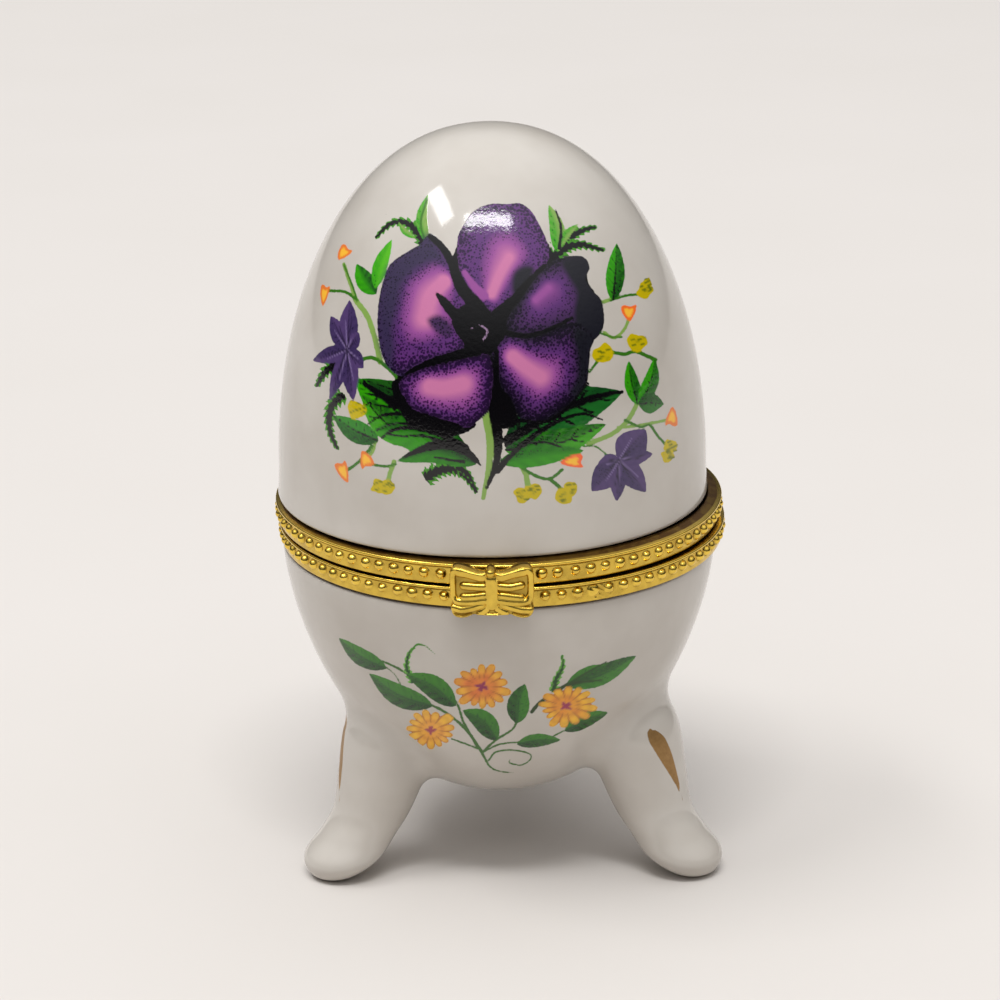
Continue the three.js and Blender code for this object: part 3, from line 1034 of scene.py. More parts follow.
@dataclass(frozen=True)
class Legs:
    """Three legs alike, a third of a turn apart, which grow out of the bowl in soft hollows.

    Each station has a height, the distance of its middle from the bowl's axis, and half its
    length along the leg's own lean.
    """

    stations: tuple[tuple[float, float, float], ...] = (
        (0.0, 28.0, 1.8), (0.9, 27.5, 3.6), (2.9, 26.2, 5.15), (5.6, 23.8, 5.05), (8.7, 21.6, 5.2),
        (14.0, 19.8, 6.0), (20.0, 17.6, 6.85), (24.7, 14.6, 6.6),
    )
    count: int = 3
    shift: float = 1.4
    widening: float = 1.05
    hollow: float = 2.9  # reach of the soft hollow between leg and bowl
    sunk: float = 1.2  # how deep its hidden end is in the bowl's wall
    sides: int = 72
    levels: int = 54
    hollow_levels: int = 12
    gold_top: tuple[float, float] = (20.8, -31.0)  # height and azimuth round the leg
    gold_tip: tuple[float, float] = (9.3, -3.0)
    gold_width: float = 2.5

    def surface(self, bowl: EggHalf, azimuth: float) -> Array:
        """Works out one leg, level by level from its pad up to where it lies on the bowl.

        Args:
            bowl: Outside of the bowl.
            azimuth: Direction in which the leg points.

        Returns:
            Points, as levels by sides by three.
        """
        knots = np.array(self.stations)
        line = curve_through([tuple(k) for k in knots], steps=40)
        turn = np.arange(self.sides) / self.sides * 2 * np.pi
        raw = np.array([
            np.column_stack([
                h * self.widening * np.sin(turn), -reach - h * np.cos(turn), np.full(self.sides, max(z, 0)),
            ])
            for z, reach, h in line
        ])
        c, s = math.cos(math.radians(azimuth)), math.sin(math.radians(azimuth))
        raw = raw @ np.array([[c, s, 0], [-s, c, 0], [0, 0, 1]])
        raw[..., 0] += self.shift
        levels = np.empty((self.levels + self.hollow_levels + 1, self.sides, 3))
        centre = raw.mean(axis=1)
        for side in range(self.sides):
            path = raw[:, side]
            distance, _ = bowl.depth(path)
            meets = int(np.flatnonzero(distance > 0)[-1])
            t = distance[meets] / (distance[meets] - distance[meets + 1])
            at = path[meets] + (path[meets + 1] - path[meets]) * t
            at = bowl.press(at[None])[0]
            run = np.vstack([path[: meets + 1], at])
            length = np.concatenate([[0], np.cumsum(np.linalg.norm(np.diff(run, axis=0), axis=1))])
            stop = length[-1] - self.hollow
            low = np.linspace(0, 1, self.levels) ** 0.92 * stop
            for axis in range(3):
                levels[: self.levels, side, axis] = np.interp(low, length, run[:, axis])
            start = levels[self.levels - 1, side]
            climb = at - start
            climb /= np.linalg.norm(climb)
            _, normal = bowl.depth(at[None])
            away = at - centre[meets]
            away -= normal[0] * (away @ normal[0])
            away /= np.linalg.norm(away)
            end = bowl.press((at + away * self.hollow)[None])[0]
            _, end_normal = bowl.depth(end[None])
            lie = away - end_normal[0] * (away @ end_normal[0])
            lie /= np.linalg.norm(lie)
            hold = 0.62 * self.hollow
            t = np.linspace(0, 1, self.hollow_levels + 1)[1:, None]
            levels[self.levels : -1, side] = (
                (1 - t) ** 3 * start + 3 * t * (1 - t) ** 2 * (start + climb * hold)
                + 3 * t**2 * (1 - t) * (end - lie * hold) + t**3 * end
            )
            levels[-1, side] = bowl.press((end + lie * 0.5)[None], -0.04)[0]
        return levels

    def build(self, bowl: EggHalf, azimuth: float) -> Mesh:
        """Makes one leg as a closed body whose upper end is hidden in the bowl's wall.

        Args:
            bowl: Outside of the bowl.
            azimuth: Direction in which the leg points.

        Returns:
            The leg's mesh.
        """
        skin = self.surface(bowl, azimuth)
        middle = skin[-1].mean(axis=0)
        hidden = [
            bowl.press(skin[-1] + (middle - skin[-1]) * share, -self.sunk)
            for share in (0.06, 0.25, 0.5, 0.75)
        ]
        sole = skin[0].mean(axis=0)
        rings = [*(sole + (skin[0] - sole) * share for share in (0.4, 0.75)), *skin, *hidden]
        profile = [(0.0, 0.0), *((1.0, k + 1.0) for k in range(len(rings))), (0.0, len(rings) + 1.0)]
        mesh = to_mesh(turned(profile, [(360.0, 1, self.sides)]), "leg")
        key = places(mesh)
        level = np.round(key[:, 2]).astype(int)
        side = np.round(azimuth_of(key) / 360 * self.sides).astype(int) % self.sides
        first, last = (
            np.repeat(end, self.sides, 0) for end in (sole[None], bowl.press(middle[None], -self.sunk))
        )
        move_to(mesh, np.stack([first, *rings, last])[level, side])
        return mesh

    def gold(self, points: Array, azimuth: float) -> Array:
        """Distance in from the edge of a leg's gold touch, a teardrop with its point down.

        Args:
            points: Points of the leg.
            azimuth: Direction in which the leg points.

        Returns:
            Signed distance, negative outside the touch.
        """
        knots = np.array(self.stations)
        reach = np.interp(points[:, 2], knots[:, 0], knots[:, 1])
        half = np.interp(points[:, 2], knots[:, 0], knots[:, 2])
        a = math.radians(azimuth)
        x, y = points[:, 0] - self.shift - reach * math.sin(a), points[:, 1] + reach * math.cos(a)
        turn = (np.degrees(np.arctan2(x, -y)) - azimuth + 180) % 360 - 180
        share = (self.gold_top[0] - points[:, 2]) / (self.gold_top[0] - self.gold_tip[0])
        lean = self.gold_top[1] + (self.gold_tip[1] - self.gold_top[1]) * np.clip(share, 0, 1)
        across = np.radians(turn - lean) * half
        t = np.clip(share, 0, 1)
        top = 0.16  # share of the touch that its round top takes
        crown = np.sqrt(np.clip(1 - (1 - t / top) ** 2, 0, 1))
        width = self.gold_width / 2 * np.where(t < top, crown, (1 - ease(t, 0.15, 1.0)) ** 0.85)
        past = np.maximum(share - 1, -share) * (self.gold_top[0] - self.gold_tip[0])
        return width - np.abs(across) - np.maximum(past, 0)


@dataclass(frozen=True)
class BowlAndLegs:
    """Lower half of the egg with its three legs, cast in one piece and glazed."""

    radius: float = 28.8
    depth: float = 35.1
    shoulder: float = 43.2
    pole_power: float = 1.55
    side_power: float = 2.2
    wall: float = 2.6
    neck_radius: float = 27.8
    neck_wall: float = 2.0
    rim: float = 45.4
    printed: Point = (13.0, 39.5)
    printed_arc: tuple[float, float] = (-54.0, 46.0)
    fine: float = 0.22
    legs: Legs = Legs()
    press: Press = Press(middle=(-2.60, -33.50))

    def build(self, finish: Material) -> Object:
        """Makes the bowl, its legs, its printed spray and the gold touches.

        Args:
            finish: The porcelain's finish.

        Returns:
            The bowl with its legs.
        """
        inner_radius = self.neck_radius - self.neck_wall
        outside, inside = (
            EggHalf(radius, depth, self.shoulder, self.pole_power, self.side_power, -1)
            for radius, depth in ((self.radius, self.depth), (inner_radius, self.depth - self.wall))
        )
        shoulder = (self.radius, self.shoulder)
        neck_foot = (self.neck_radius, self.shoulder)
        neck_top = (self.neck_radius, self.rim)
        neck_in = (inner_radius, self.rim)
        profile = [
            *outside.profile(1.3, self.fine, self.printed)[:-1],
            *rounded(shoulder, (self.radius - 0.02, self.shoulder - 1), neck_foot, 0.4),
            neck_foot,
            *rounded(neck_top, neck_foot, neck_in, 0.35, 3),
            *rounded(neck_in, neck_top, (inner_radius, self.shoulder), 0.35, 3),
            *reversed(inside.profile(2.2)),
        ]
        first, last = self.printed_arc
        wedges = round(math.radians(last - first) * self.radius / self.fine / 10)
        arcs = [(last - first, wedges, 10), (360 - last + first, 8, 12)]
        bowl = to_mesh(turned(profile, arcs, first), "bowl")
        bm = bmesh.new()
        bm.from_mesh(bowl)
        bpy.data.meshes.remove(bowl)
        bowl_count = len(bm.verts)
        ends = [bowl_count]
        azimuths = [(i + 0.5) * 360 / self.legs.count for i in range(self.legs.count)]
        for azimuth in azimuths:
            leg = self.legs.build(outside, azimuth)
            bm.from_mesh(leg)
            bpy.data.meshes.remove(leg)
            ends.append(len(bm.verts))
        mesh = to_mesh(bm, "bowl_porcelain")
        points = places(mesh)
        around = azimuth_of(points)
        distance, _ = outside.depth(points)
        bowl_part = np.arange(len(points)) < bowl_count
        rows = np.flatnonzero(
            bowl_part & (around > first - 0.5) & (around < last + 0.5)
            & (points[:, 2] < self.printed[1] + 0.5) & (points[:, 2] > self.printed[0] - 0.5)
            & (distance > -0.5)
        )
        sheet = Sheet(*self.press.flatten(points[rows]))
        print_spray(sheet)
        sheet.save(mesh, rows)
        gold = np.full(len(points), -FAR)
        for azimuth, start, end in zip(azimuths, ends, ends[1:]):
            gold[start:end] = self.legs.gold(points[start:end], azimuth)
        mark(mesh, "gold", gold)
        reach = np.hypot(points[:, 0], points[:, 1])
        # neck takes the glue colour: glue, and painted shade of the gap under the base bezel
        neck = bowl_part & (points[:, 2] > self.shoulder + 0.1) & (reach > inner_radius + 0.4)
        mark(mesh, "glue", np.where(neck, 1.0, 0.0))
        mark(mesh, "bare", np.where(~bowl_part & (points[:, 2] < 0.12), 1.0, 0.0))
        return set_down(mesh, finish, Body.BASE, Slot.PORCELAIN, "bowl_and_legs")


def print_pansy(sheet: Sheet) -> None:
    """Draws the lid's transfer: a large violet flower among leaves, buds and small star flowers.

    Args:
        sheet: The empty sheet.
    """
    lime, moss = "#85a852", "#37721a"
    fresh, deep = "#33a003", "#0d4b0d"
    for points, width in (
        (((-13.6, -4.4), (-14.4, -0.8), (-15.3, 1.8), (-16.8, 3.9)), 0.72),
        (((-16.6, 3.8), (-17.5, 6.1), (-18.3, 8.7)), 0.5),
        (((16.3, -0.8), (17.6, -1.5), (18.9, -0.5), (19.6, 1.0)), 0.42),
        (((16.2, 3.3), (17.2, 3.7), (17.4, 4.9)), 0.5),
        (((14.0, -15.6), (17.2, -14.3), (19.3, -12.5), (20.7, -10.1)), 0.6),
        (((18.0, -13.5), (20.9, -13.2), (24.7, -12.5)), 0.4),
        (((-14.3, -14.8), (-14.8, -16.4), (-15.7, -17.2)), 0.4),
        (((-11.9, -17.7), (-12.5, -19.3), (-12.8, -20.4)), 0.62),
        (((4.6, -17.6), (5.6, -19.5), (5.9, -21.4)), 0.75),
        (((23.0, -4.3), (23.0, -6.1)), 0.34),
    ):
        sheet.stroke(points, width, lime)
    for points, width in (
        (((-16.6, 3.9), (-18.2, 5.0), (-20.5, 5.2)), 0.4),
        (((-16.7, 4.3), (-17.5, 6.6), (-18.3, 8.6)), 0.26),
        (((17.2, 3.5), (19.2, 4.1), (21.5, 4.3)), 0.36),
        (((15.7, -0.8), (17.3, -1.4), (18.6, -1.4)), 0.28),
        (((17.3, -3.4), (18.9, -3.7), (20.5, -3.4), (23.1, -4.5)), 0.5),
        (((14.3, -6.0), (15.3, -4.7), (16.1, -4.2)), 0.34),
        (((18.9, -12.5), (20.9, -13.4), (22.2, -13.2), (23.3, -14.7), (24.5, -16.0)), 0.36),
        (((13.4, -15.9), (15.0, -16.0), (16.7, -17.3)), 0.24),
        (((-14.8, -15.6), (-16.7, -17.7), (-18.1, -18.7)), 0.42),
        (((-14.6, -18.1), (-13.0, -18.3), (-11.7, -18.0)), 0.36),
        (((5.1, -18.7), (7.0, -19.8), (8.8, -20.2), (10.5, -19.0)), 0.42),
        (((8.8, -20.2), (10.2, -21.4)), 0.5),
        (((-17.0, -4.3), (-14.7, -3.8), (-12.6, -5.2), (-10.7, -7.3)), 0.5),
    ):
        sheet.stroke(points, width, moss)
    for points, width in (
        (((-7.6, 11.5), (-9.2, 13.7), (-11.0, 14.3), (-12.5, 13.7), (-13.9, 12.3)), 1.0),
        (((10.0, 10.3), (12.1, 12.1), (13.7, 12.9), (15.2, 13.3)), 1.15),
        (((9.4, 9.2), (11.6, 10.7), (13.7, 10.9), (16.2, 10.2)), 1.15),
        (((-19.5, -4.6), (-20.9, -5.6), (-22.2, -7.6)), 1.1),
        (((-18.6, -8.6), (-20.1, -10.2), (-20.5, -12.0), (-20.3, -13.9), (-19.5, -15.8)), 1.1),
        (((-7.8, -20.0), (-6.1, -19.0), (-4.1, -18.8), (-2.4, -19.7), (-0.9, -21.9)), 1.3),
        (((-3.7, -18.4), (-2.1, -19.4), (-1.3, -21.0)), 0.7),
    ):
        sheet.frond(points, width * 2.5, "#428f1a")
        sheet.frond(points, width * 1.35, None, 0.8)
    for root, tip, width, bend in (
        ((-7.2, 11.4), (-7.0, 17.9), 1.5, 0.8),
        ((10.2, 10.0), (9.1, 16.3), 2.0, -0.5),
        ((10.5, 10.8), (13.0, 13.7), 1.1, 0.3),
        ((-8.9, 12.1), (-11.0, 14.3), 0.8, 0.3),
    ):
        sheet.leaf(root, tip, width, bend, lime, fresh, 0.0)
    sheet.stroke(((-7.5, 11.8), (-8.0, 14.2), (-7.1, 17.4)), 0.3, moss)
    sheet.stroke(((10.4, 10.5), (10.7, 13.2), (10.0, 15.6)), 0.42, None, (1.0, 0.4))
    for root, tip, width, bend, light, dark, veins, shaded in (
        ((-14.1, 4.7), (-16.6, 8.7), 2.5, 0.25, fresh, deep, 0.0, -1),
        ((-14.2, 5.5), (-11.9, 11.9), 1.9, 0.3, "#55b814", fresh, 0.0, 1),
        ((17.5, 3.5), (18.1, 11.1), 2.5, -0.1, fresh, deep, 0.24, -1),
        ((20.7, -10.5), (19.5, -4.6), 2.0, 0.2, fresh, deep, 0.14, -1),
        ((20.8, -10.4), (23.0, -4.3), 2.1, -0.55, fresh, deep, 0.14, -1),
        ((20.8, -10.4), (24.1, -10.4), 2.8, 0.15, "#2b7223", deep, 0.16, 1),
        ((-14.0, -14.9), (-19.9, -11.5), 3.0, 0.3, "#2f881f", "#0f5313", 0.2, 1),
        ((-8.7, -14.3), (-16.9, -6.7), 6.2, -0.5, fresh, deep, 0.34, -1),
        ((-7.8, -14.8), (-16.1, -8.9), 4.2, 1.1, "#3ea00d", deep, 0.3, -1),
        ((-6.3, -12.7), (-15.5, -6.8), 3.0, -1.0, "#1c5714", "#0b2e0f", 0.3, 1),
        ((-2.1, -17.0), (-14.5, -13.4), 5.2, -1.0, "#31910b", "#0f4b0f", 0.0, -1),
        ((-1.0, -18.1), (-11.5, -17.6), 2.9, -1.3, "#29810b", "#0d3f11", 0.0, -1),
        ((2.9, -15.8), (18.6, -8.7), 6.4, 0.9, "#1a6823", "#0b3d16", 0.42, 1),
        ((2.9, -16.3), (16.4, -13.0), 3.9, -0.9, "#3c9e0b", "#0f530f", 0.3, 1),
        ((2.2, -17.9), (13.4, -16.5), 2.9, 0.2, "#319105", "#166808", 0.0, 1),
    ):
        sheet.leaf(root, tip, width, bend, light, dark, veins, None, shaded)
    sheet.patch((
        (-0.3, -18.4), (-1.8, -16.2), (-4.4, -15.0), (-7.1, -15.1), (-10.9, -17.2), (-7.9, -16.4),
        (-5.0, -16.1), (-2.6, -16.9),
    ), None)
    for points, width in (
        (((-13.5, -14.5), (-12.1, -13.5), (-9.5, -13.2), (-5.8, -14.1), (-2.3, -16.0)), 0.8),
        (((-12.7, -14.0), (-10.6, -14.3), (-7.9, -14.3), (-4.7, -15.4)), 0.35),
        (((-15.8, -8.4), (-14.2, -8.9), (-12.1, -9.2), (-10.5, -8.7)), 0.5),
        (((-15.6, -10.0), (-13.7, -10.2), (-11.8, -10.5), (-10.0, -10.0)), 0.3),
        (((-15.3, -12.6), (-13.7, -11.6), (-11.6, -11.3), (-9.2, -11.6)), 0.5),
        (((-14.6, -13.7), (-12.1, -12.7), (-9.5, -12.7), (-7.1, -13.5)), 0.35),
        (((-7.1, -17.0), (-4.7, -17.5), (-2.6, -17.8)), 0.3),
    ):
        sheet.stroke(points, width, None, (0.3, 1.2))
    sheet.stroke(((3.0, -17.6), (4.9, -15.9), (7.8, -15.3), (10.5, -16.0)), 0.34, None, (1.0, 0.5))
    sheet.stroke(((3.3, -15.0), (8.9, -11.8), (14.3, -9.5), (18.6, -8.7)), 0.8, None, (1.6, 0.5))
    sheet.stroke(((4.9, -15.8), (8.7, -13.2), (12.9, -11.6), (15.9, -12.4)), 0.5, None, (1.5, 0.4))
    sheet.stroke(((-5.7, -13.3), (-9.5, -11.1), (-12.4, -9.5), (-15.8, -7.2)), 1.0, None, (1.8, 0.5))
    orange, amber = "#ec7e37", "#ffc13c"
    for middle, size, turn, rim in (
        ((-18.4, 10.2), (0.95, 0.75), -38.0, orange),
        ((-21.0, 4.6), (1.25, 0.55), -8.0, orange),
        ((19.6, 1.8), (0.95, 0.95), 4.0, "#f9712e"),
        ((25.2, -12.1), (1.15, 0.75), 176.0, orange),
        ((11.8, -17.9), (1.35, 0.85), -84.0, "#f96c3a"),
        ((-18.7, -19.0), (1.3, 0.75), 22.0, orange),
        ((-15.7, -17.3), (1.05, 0.85), 200.0, orange),
    ):
        sheet.bud(middle, size, turn, rim, amber)
    olive, lemon = "#6b750d", "#c9b305"
    for index, (middle, half) in enumerate((
        ((16.1, -3.6), 1.15), ((20.6, -2.2), 1.1), ((21.8, 4.8), 0.95), ((-16.8, -10.7), 1.15),
        ((-14.0, -21.0), 0.9), ((-12.8, -21.1), 0.85), ((5.1, -22.3), 0.95), ((6.6, -21.8), 0.95),
        ((10.7, -22.5), 1.0), ((11.6, -21.5), 0.85), ((24.9, -16.1), 0.8), ((24.5, -17.3), 0.75),
        ((22.2, 5.8), 0.6),
    )):
        sheet.tuft(middle, half, lemon, olive, 40 + index)
    shades = ("#533e6f", "#3a2c57", "#241a35", "#836fa1")
    sheet.star((-18.0, -2.7), (
        ((-17.6, 3.9), 2.6), ((-20.1, 1.8), 2.5), ((-22.6, -4.1), 2.3), ((-20.4, -9.4), 1.9),
        ((-17.3, -9.5), 2.3), ((-15.9, -5.2), 2.2), ((-16.4, -0.4), 2.0),
    ), shades)
    sheet.star((18.1, -17.8), (
        ((21.7, -13.8), 4.2), ((22.6, -17.0), 2.2), ((21.6, -22.1), 3.1), ((17.7, -23.3), 2.3),
        ((14.4, -21.9), 3.6), ((15.3, -18.2), 2.0),
    ), shades)
    sheet.stroke(((0.5, -11.7), (0.9, -14.9), (0.7, -18.7), (-0.1, -22.7)), 1.25, lime, (1.0, 0.45))
    sheet.stroke(((1.7, -12.3), (2.0, -15.8), (1.4, -18.9), (0.4, -21.3)), 1.5, None, (1.0, 0.25))
    sheet.stroke(((1.9, -19.0), (3.3, -17.4), (4.9, -16.1)), 0.9, None, (1.0, 0.4))
    sheet.patch((
        (-12.1, -7.3), (-9.4, -6.6), (-8.6, -9.5), (-7.1, -11.7), (-8.4, -13.2), (-10.5, -11.9),
    ), None)
    sheet.patch((
        (-10.5, -10.5), (-7.1, -11.4), (-3.3, -12.2), (-0.9, -12.8), (-2.8, -14.1), (-5.8, -14.3),
        (-8.7, -13.2),
    ), None)
    sheet.patch((
        (-6.5, 11.8), (-4.2, 9.4), (-2.5, 12.3), (-0.1, 15.5), (3.2, 16.1), (6.6, 15.3), (8.7, 11.6),
        (10.5, 8.7), (13.8, 8.4), (14.2, 6.0), (15.9, 2.9), (15.7, -0.2), (14.4, -2.6), (13.7, -7.1),
        (10.3, -10.8), (5.6, -12.2), (3.0, -9.9), (0.4, -11.2), (-2.4, -12.8), (-7.1, -11.4), (-10.5, -8.9),
        (-11.0, -6.8), (-13.0, -3.1), (-13.5, 1.2), (-12.7, 5.9), (-10.6, 9.4),
    ), None)
    pink, rose, violet = "#cd7aa7", "#994f98", "#5e3074"
    plum, slate, night = "#412652", "#362b4c", "#1a1a23"
    sheet.petal((
        (8.9, 8.4), (10.5, 9.2), (12.4, 9.5), (13.8, 9.2), (14.4, 7.8), (13.9, 6.4), (14.7, 4.9),
        (15.9, 3.6), (16.3, 1.4), (16.0, -0.4), (14.6, -1.8), (11.7, -0.7), (8.8, -1.2), (5.6, -1.7),
        (3.5, -0.6), (3.3, 1.3), (4.8, 3.1), (6.1, 5.0), (7.3, 6.9),
    ), ((7.2, 3.7), (8.9, 5.2)), 0.6, (rose, violet, plum, night), 0.9)
    sheet.patch((
        (10.8, 8.7), (12.6, 9.5), (14.0, 9.0), (14.4, 7.8), (13.9, 6.4), (14.7, 4.9), (15.9, 3.6),
        (16.3, 1.4), (16.0, -0.4), (14.9, -1.5), (12.8, -0.4), (12.3, 2.0), (12.7, 4.7), (11.5, 6.8),
    ), night, 0.5)
    sheet.petal((
        (3.7, -0.6), (2.0, -1.6), (1.2, -3.2), (1.8, -5.4), (2.4, -7.8), (3.8, -9.9), (4.7, -11.8),
        (6.3, -12.9), (8.4, -12.4), (10.5, -11.0), (12.4, -9.5), (13.9, -7.4), (14.2, -4.7), (14.4, -2.6),
        (14.9, -1.2), (13.1, 0.4), (10.9, 0.4), (8.5, -0.6), (6.1, -1.3),
    ), ((4.1, -3.9), (5.8, -5.3), (7.7, -6.6)), 1.3, (pink, rose, violet, plum, night), 1.0)
    sheet.patch((
        (12.8, 0.1), (14.9, -1.2), (14.4, -3.1), (14.2, -5.2), (13.8, -7.6), (12.4, -9.2), (11.6, -8.7),
        (12.6, -6.5), (12.5, -3.3), (12.0, -1.2),
    ), night, 0.6, 0.5)
    sheet.petal((
        (-11.1, -7.1), (-9.7, -6.0), (-7.0, -5.1), (-4.0, -4.4), (-1.1, -3.7), (0.8, -3.5), (1.3, -5.3),
        (1.2, -8.5), (0.8, -10.9), (-0.7, -12.4), (-2.3, -13.3), (-4.4, -12.7), (-7.1, -11.8), (-9.5, -10.8),
        (-10.8, -8.9),
    ), ((-7.0, -7.7), (-5.0, -7.9), (-2.6, -7.4)), 1.5, (pink, rose, violet, plum), 1.0)
    sheet.petal((
        (-6.7, 12.6), (-5.5, 11.8), (-4.3, 10.4), (-3.5, 8.6), (-2.9, 6.4), (-1.8, 4.7), (-0.5, 3.5),
        (0.0, 0.8), (-0.8, -1.9), (-2.7, -3.4), (-5.6, -4.3), (-8.3, -5.2), (-10.5, -6.3), (-12.2, -5.5),
        (-13.4, -3.3), (-13.9, -0.1), (-13.8, 3.1), (-13.3, 5.7), (-12.4, 8.1), (-10.8, 9.7), (-8.7, 10.6),
        (-7.7, 11.8),
    ), ((-5.0, 6.2), (-6.8, 4.3), (-7.6, 1.4)), 1.5, (pink, rose, violet, violet, slate), 0.9)
    sheet.patch((
        (-6.7, 12.6), (-8.1, 11.3), (-10.6, 9.8), (-12.3, 8.4), (-13.3, 5.7), (-13.8, 2.8), (-13.9, -0.4),
        (-13.4, -3.2), (-12.3, -4.9), (-11.5, -2.8), (-11.7, -0.1), (-11.0, 3.3), (-10.3, 6.0), (-8.2, 8.1),
        (-5.8, 8.9), (-4.7, 8.9),
    ), slate, 0.9, 0.45)
    sheet.petal((
        (-3.1, 12.0), (-2.2, 13.9), (-0.9, 15.6), (1.3, 16.5), (3.4, 16.5), (5.4, 16.5), (6.8, 15.4),
        (7.9, 13.5), (8.9, 11.1), (9.0, 9.2), (8.0, 7.6), (5.9, 6.3), (4.0, 4.0), (2.7, 2.6), (1.2, 2.1),
        (0.3, 3.3), (-1.1, 4.7), (-2.3, 6.4), (-3.1, 8.8),
    ), ((3.7, 9.3), (2.5, 7.2), (1.3, 4.5)), 0.9, (pink, rose, violet, violet, "#5e3272"), 0.8)
    sheet.stroke(((-2.3, 7.5), (-1.0, 5.6), (0.3, 4.3)), 1.3, rose, (0.5, 1.0))
    sheet.patch(((4.3, 7.2), (5.7, 8.2), (7.0, 7.9), (6.5, 6.3), (5.1, 4.7), (4.1, 4.8)), night, 0.5)
    sheet.patch(((-7.2, 1.1), (-5.6, 1.7), (-4.0, 0.3), (-4.3, -1.0), (-5.9, -0.7)), plum, 0.5, 0.6)
    for outline in (
        ((-4.0, 1.4), (-2.6, 3.0), (-0.8, 3.6), (0.6, 2.7), (1.9, 1.8), (3.5, 2.6), (4.3, 2.9), (3.3, 0.8),
         (3.3, -0.8), (2.1, -2.4), (1.0, -3.5), (-1.1, -3.2), (-3.0, -3.7), (-2.4, -2.1), (-3.5, -0.5)),
        ((-6.1, 4.6), (-4.8, 4.1), (-3.4, 2.7), (-1.8, 2.3), (-3.2, 0.8), (-4.8, 2.2)),
        ((1.6, -3.2), (2.2, -3.2), (2.3, -7.5), (4.0, -9.9), (4.5, -12.8), (2.0, -13.4), (0.8, -11.5),
         (1.4, -8.0)),
    ):
        sheet.patch(outline, None)
    for points, width, ends in (
        (((-1.3, 3.5), (-2.9, 5.6), (-3.9, 8.6), (-5.1, 10.7), (-6.7, 12.3)), 1.05, (1.5, 0.7)),
        (((1.9, 1.8), (4.2, 3.7), (6.1, 5.9), (8.4, 8.2)), 1.0, (1.4, 0.5)),
        (((2.9, -0.6), (5.6, -1.1), (8.5, -0.5), (12.0, 1.2)), 0.8, (1.0, 0.5)),
        (((-0.6, -2.9), (-4.0, -3.7), (-7.3, -4.6), (-10.2, -6.0)), 0.95, (1.6, 0.5)),
        (((-10.8, -8.9), (-9.5, -10.8), (-6.8, -11.9), (-3.3, -13.0)), 0.5, (0.7, 1.0)),
        (((4.4, -12.3), (8.3, -12.6), (11.1, -10.9), (14.0, -7.6)), 0.4, (1.0, 0.8)),
    ):
        sheet.stroke(points, width, None, ends)
    sheet.stroke(((-1.5, -0.1), (-0.4, 0.4), (0.7, -0.4), (0.2, -1.6)), 0.36, "#a687aa", (0.4, 1.0))


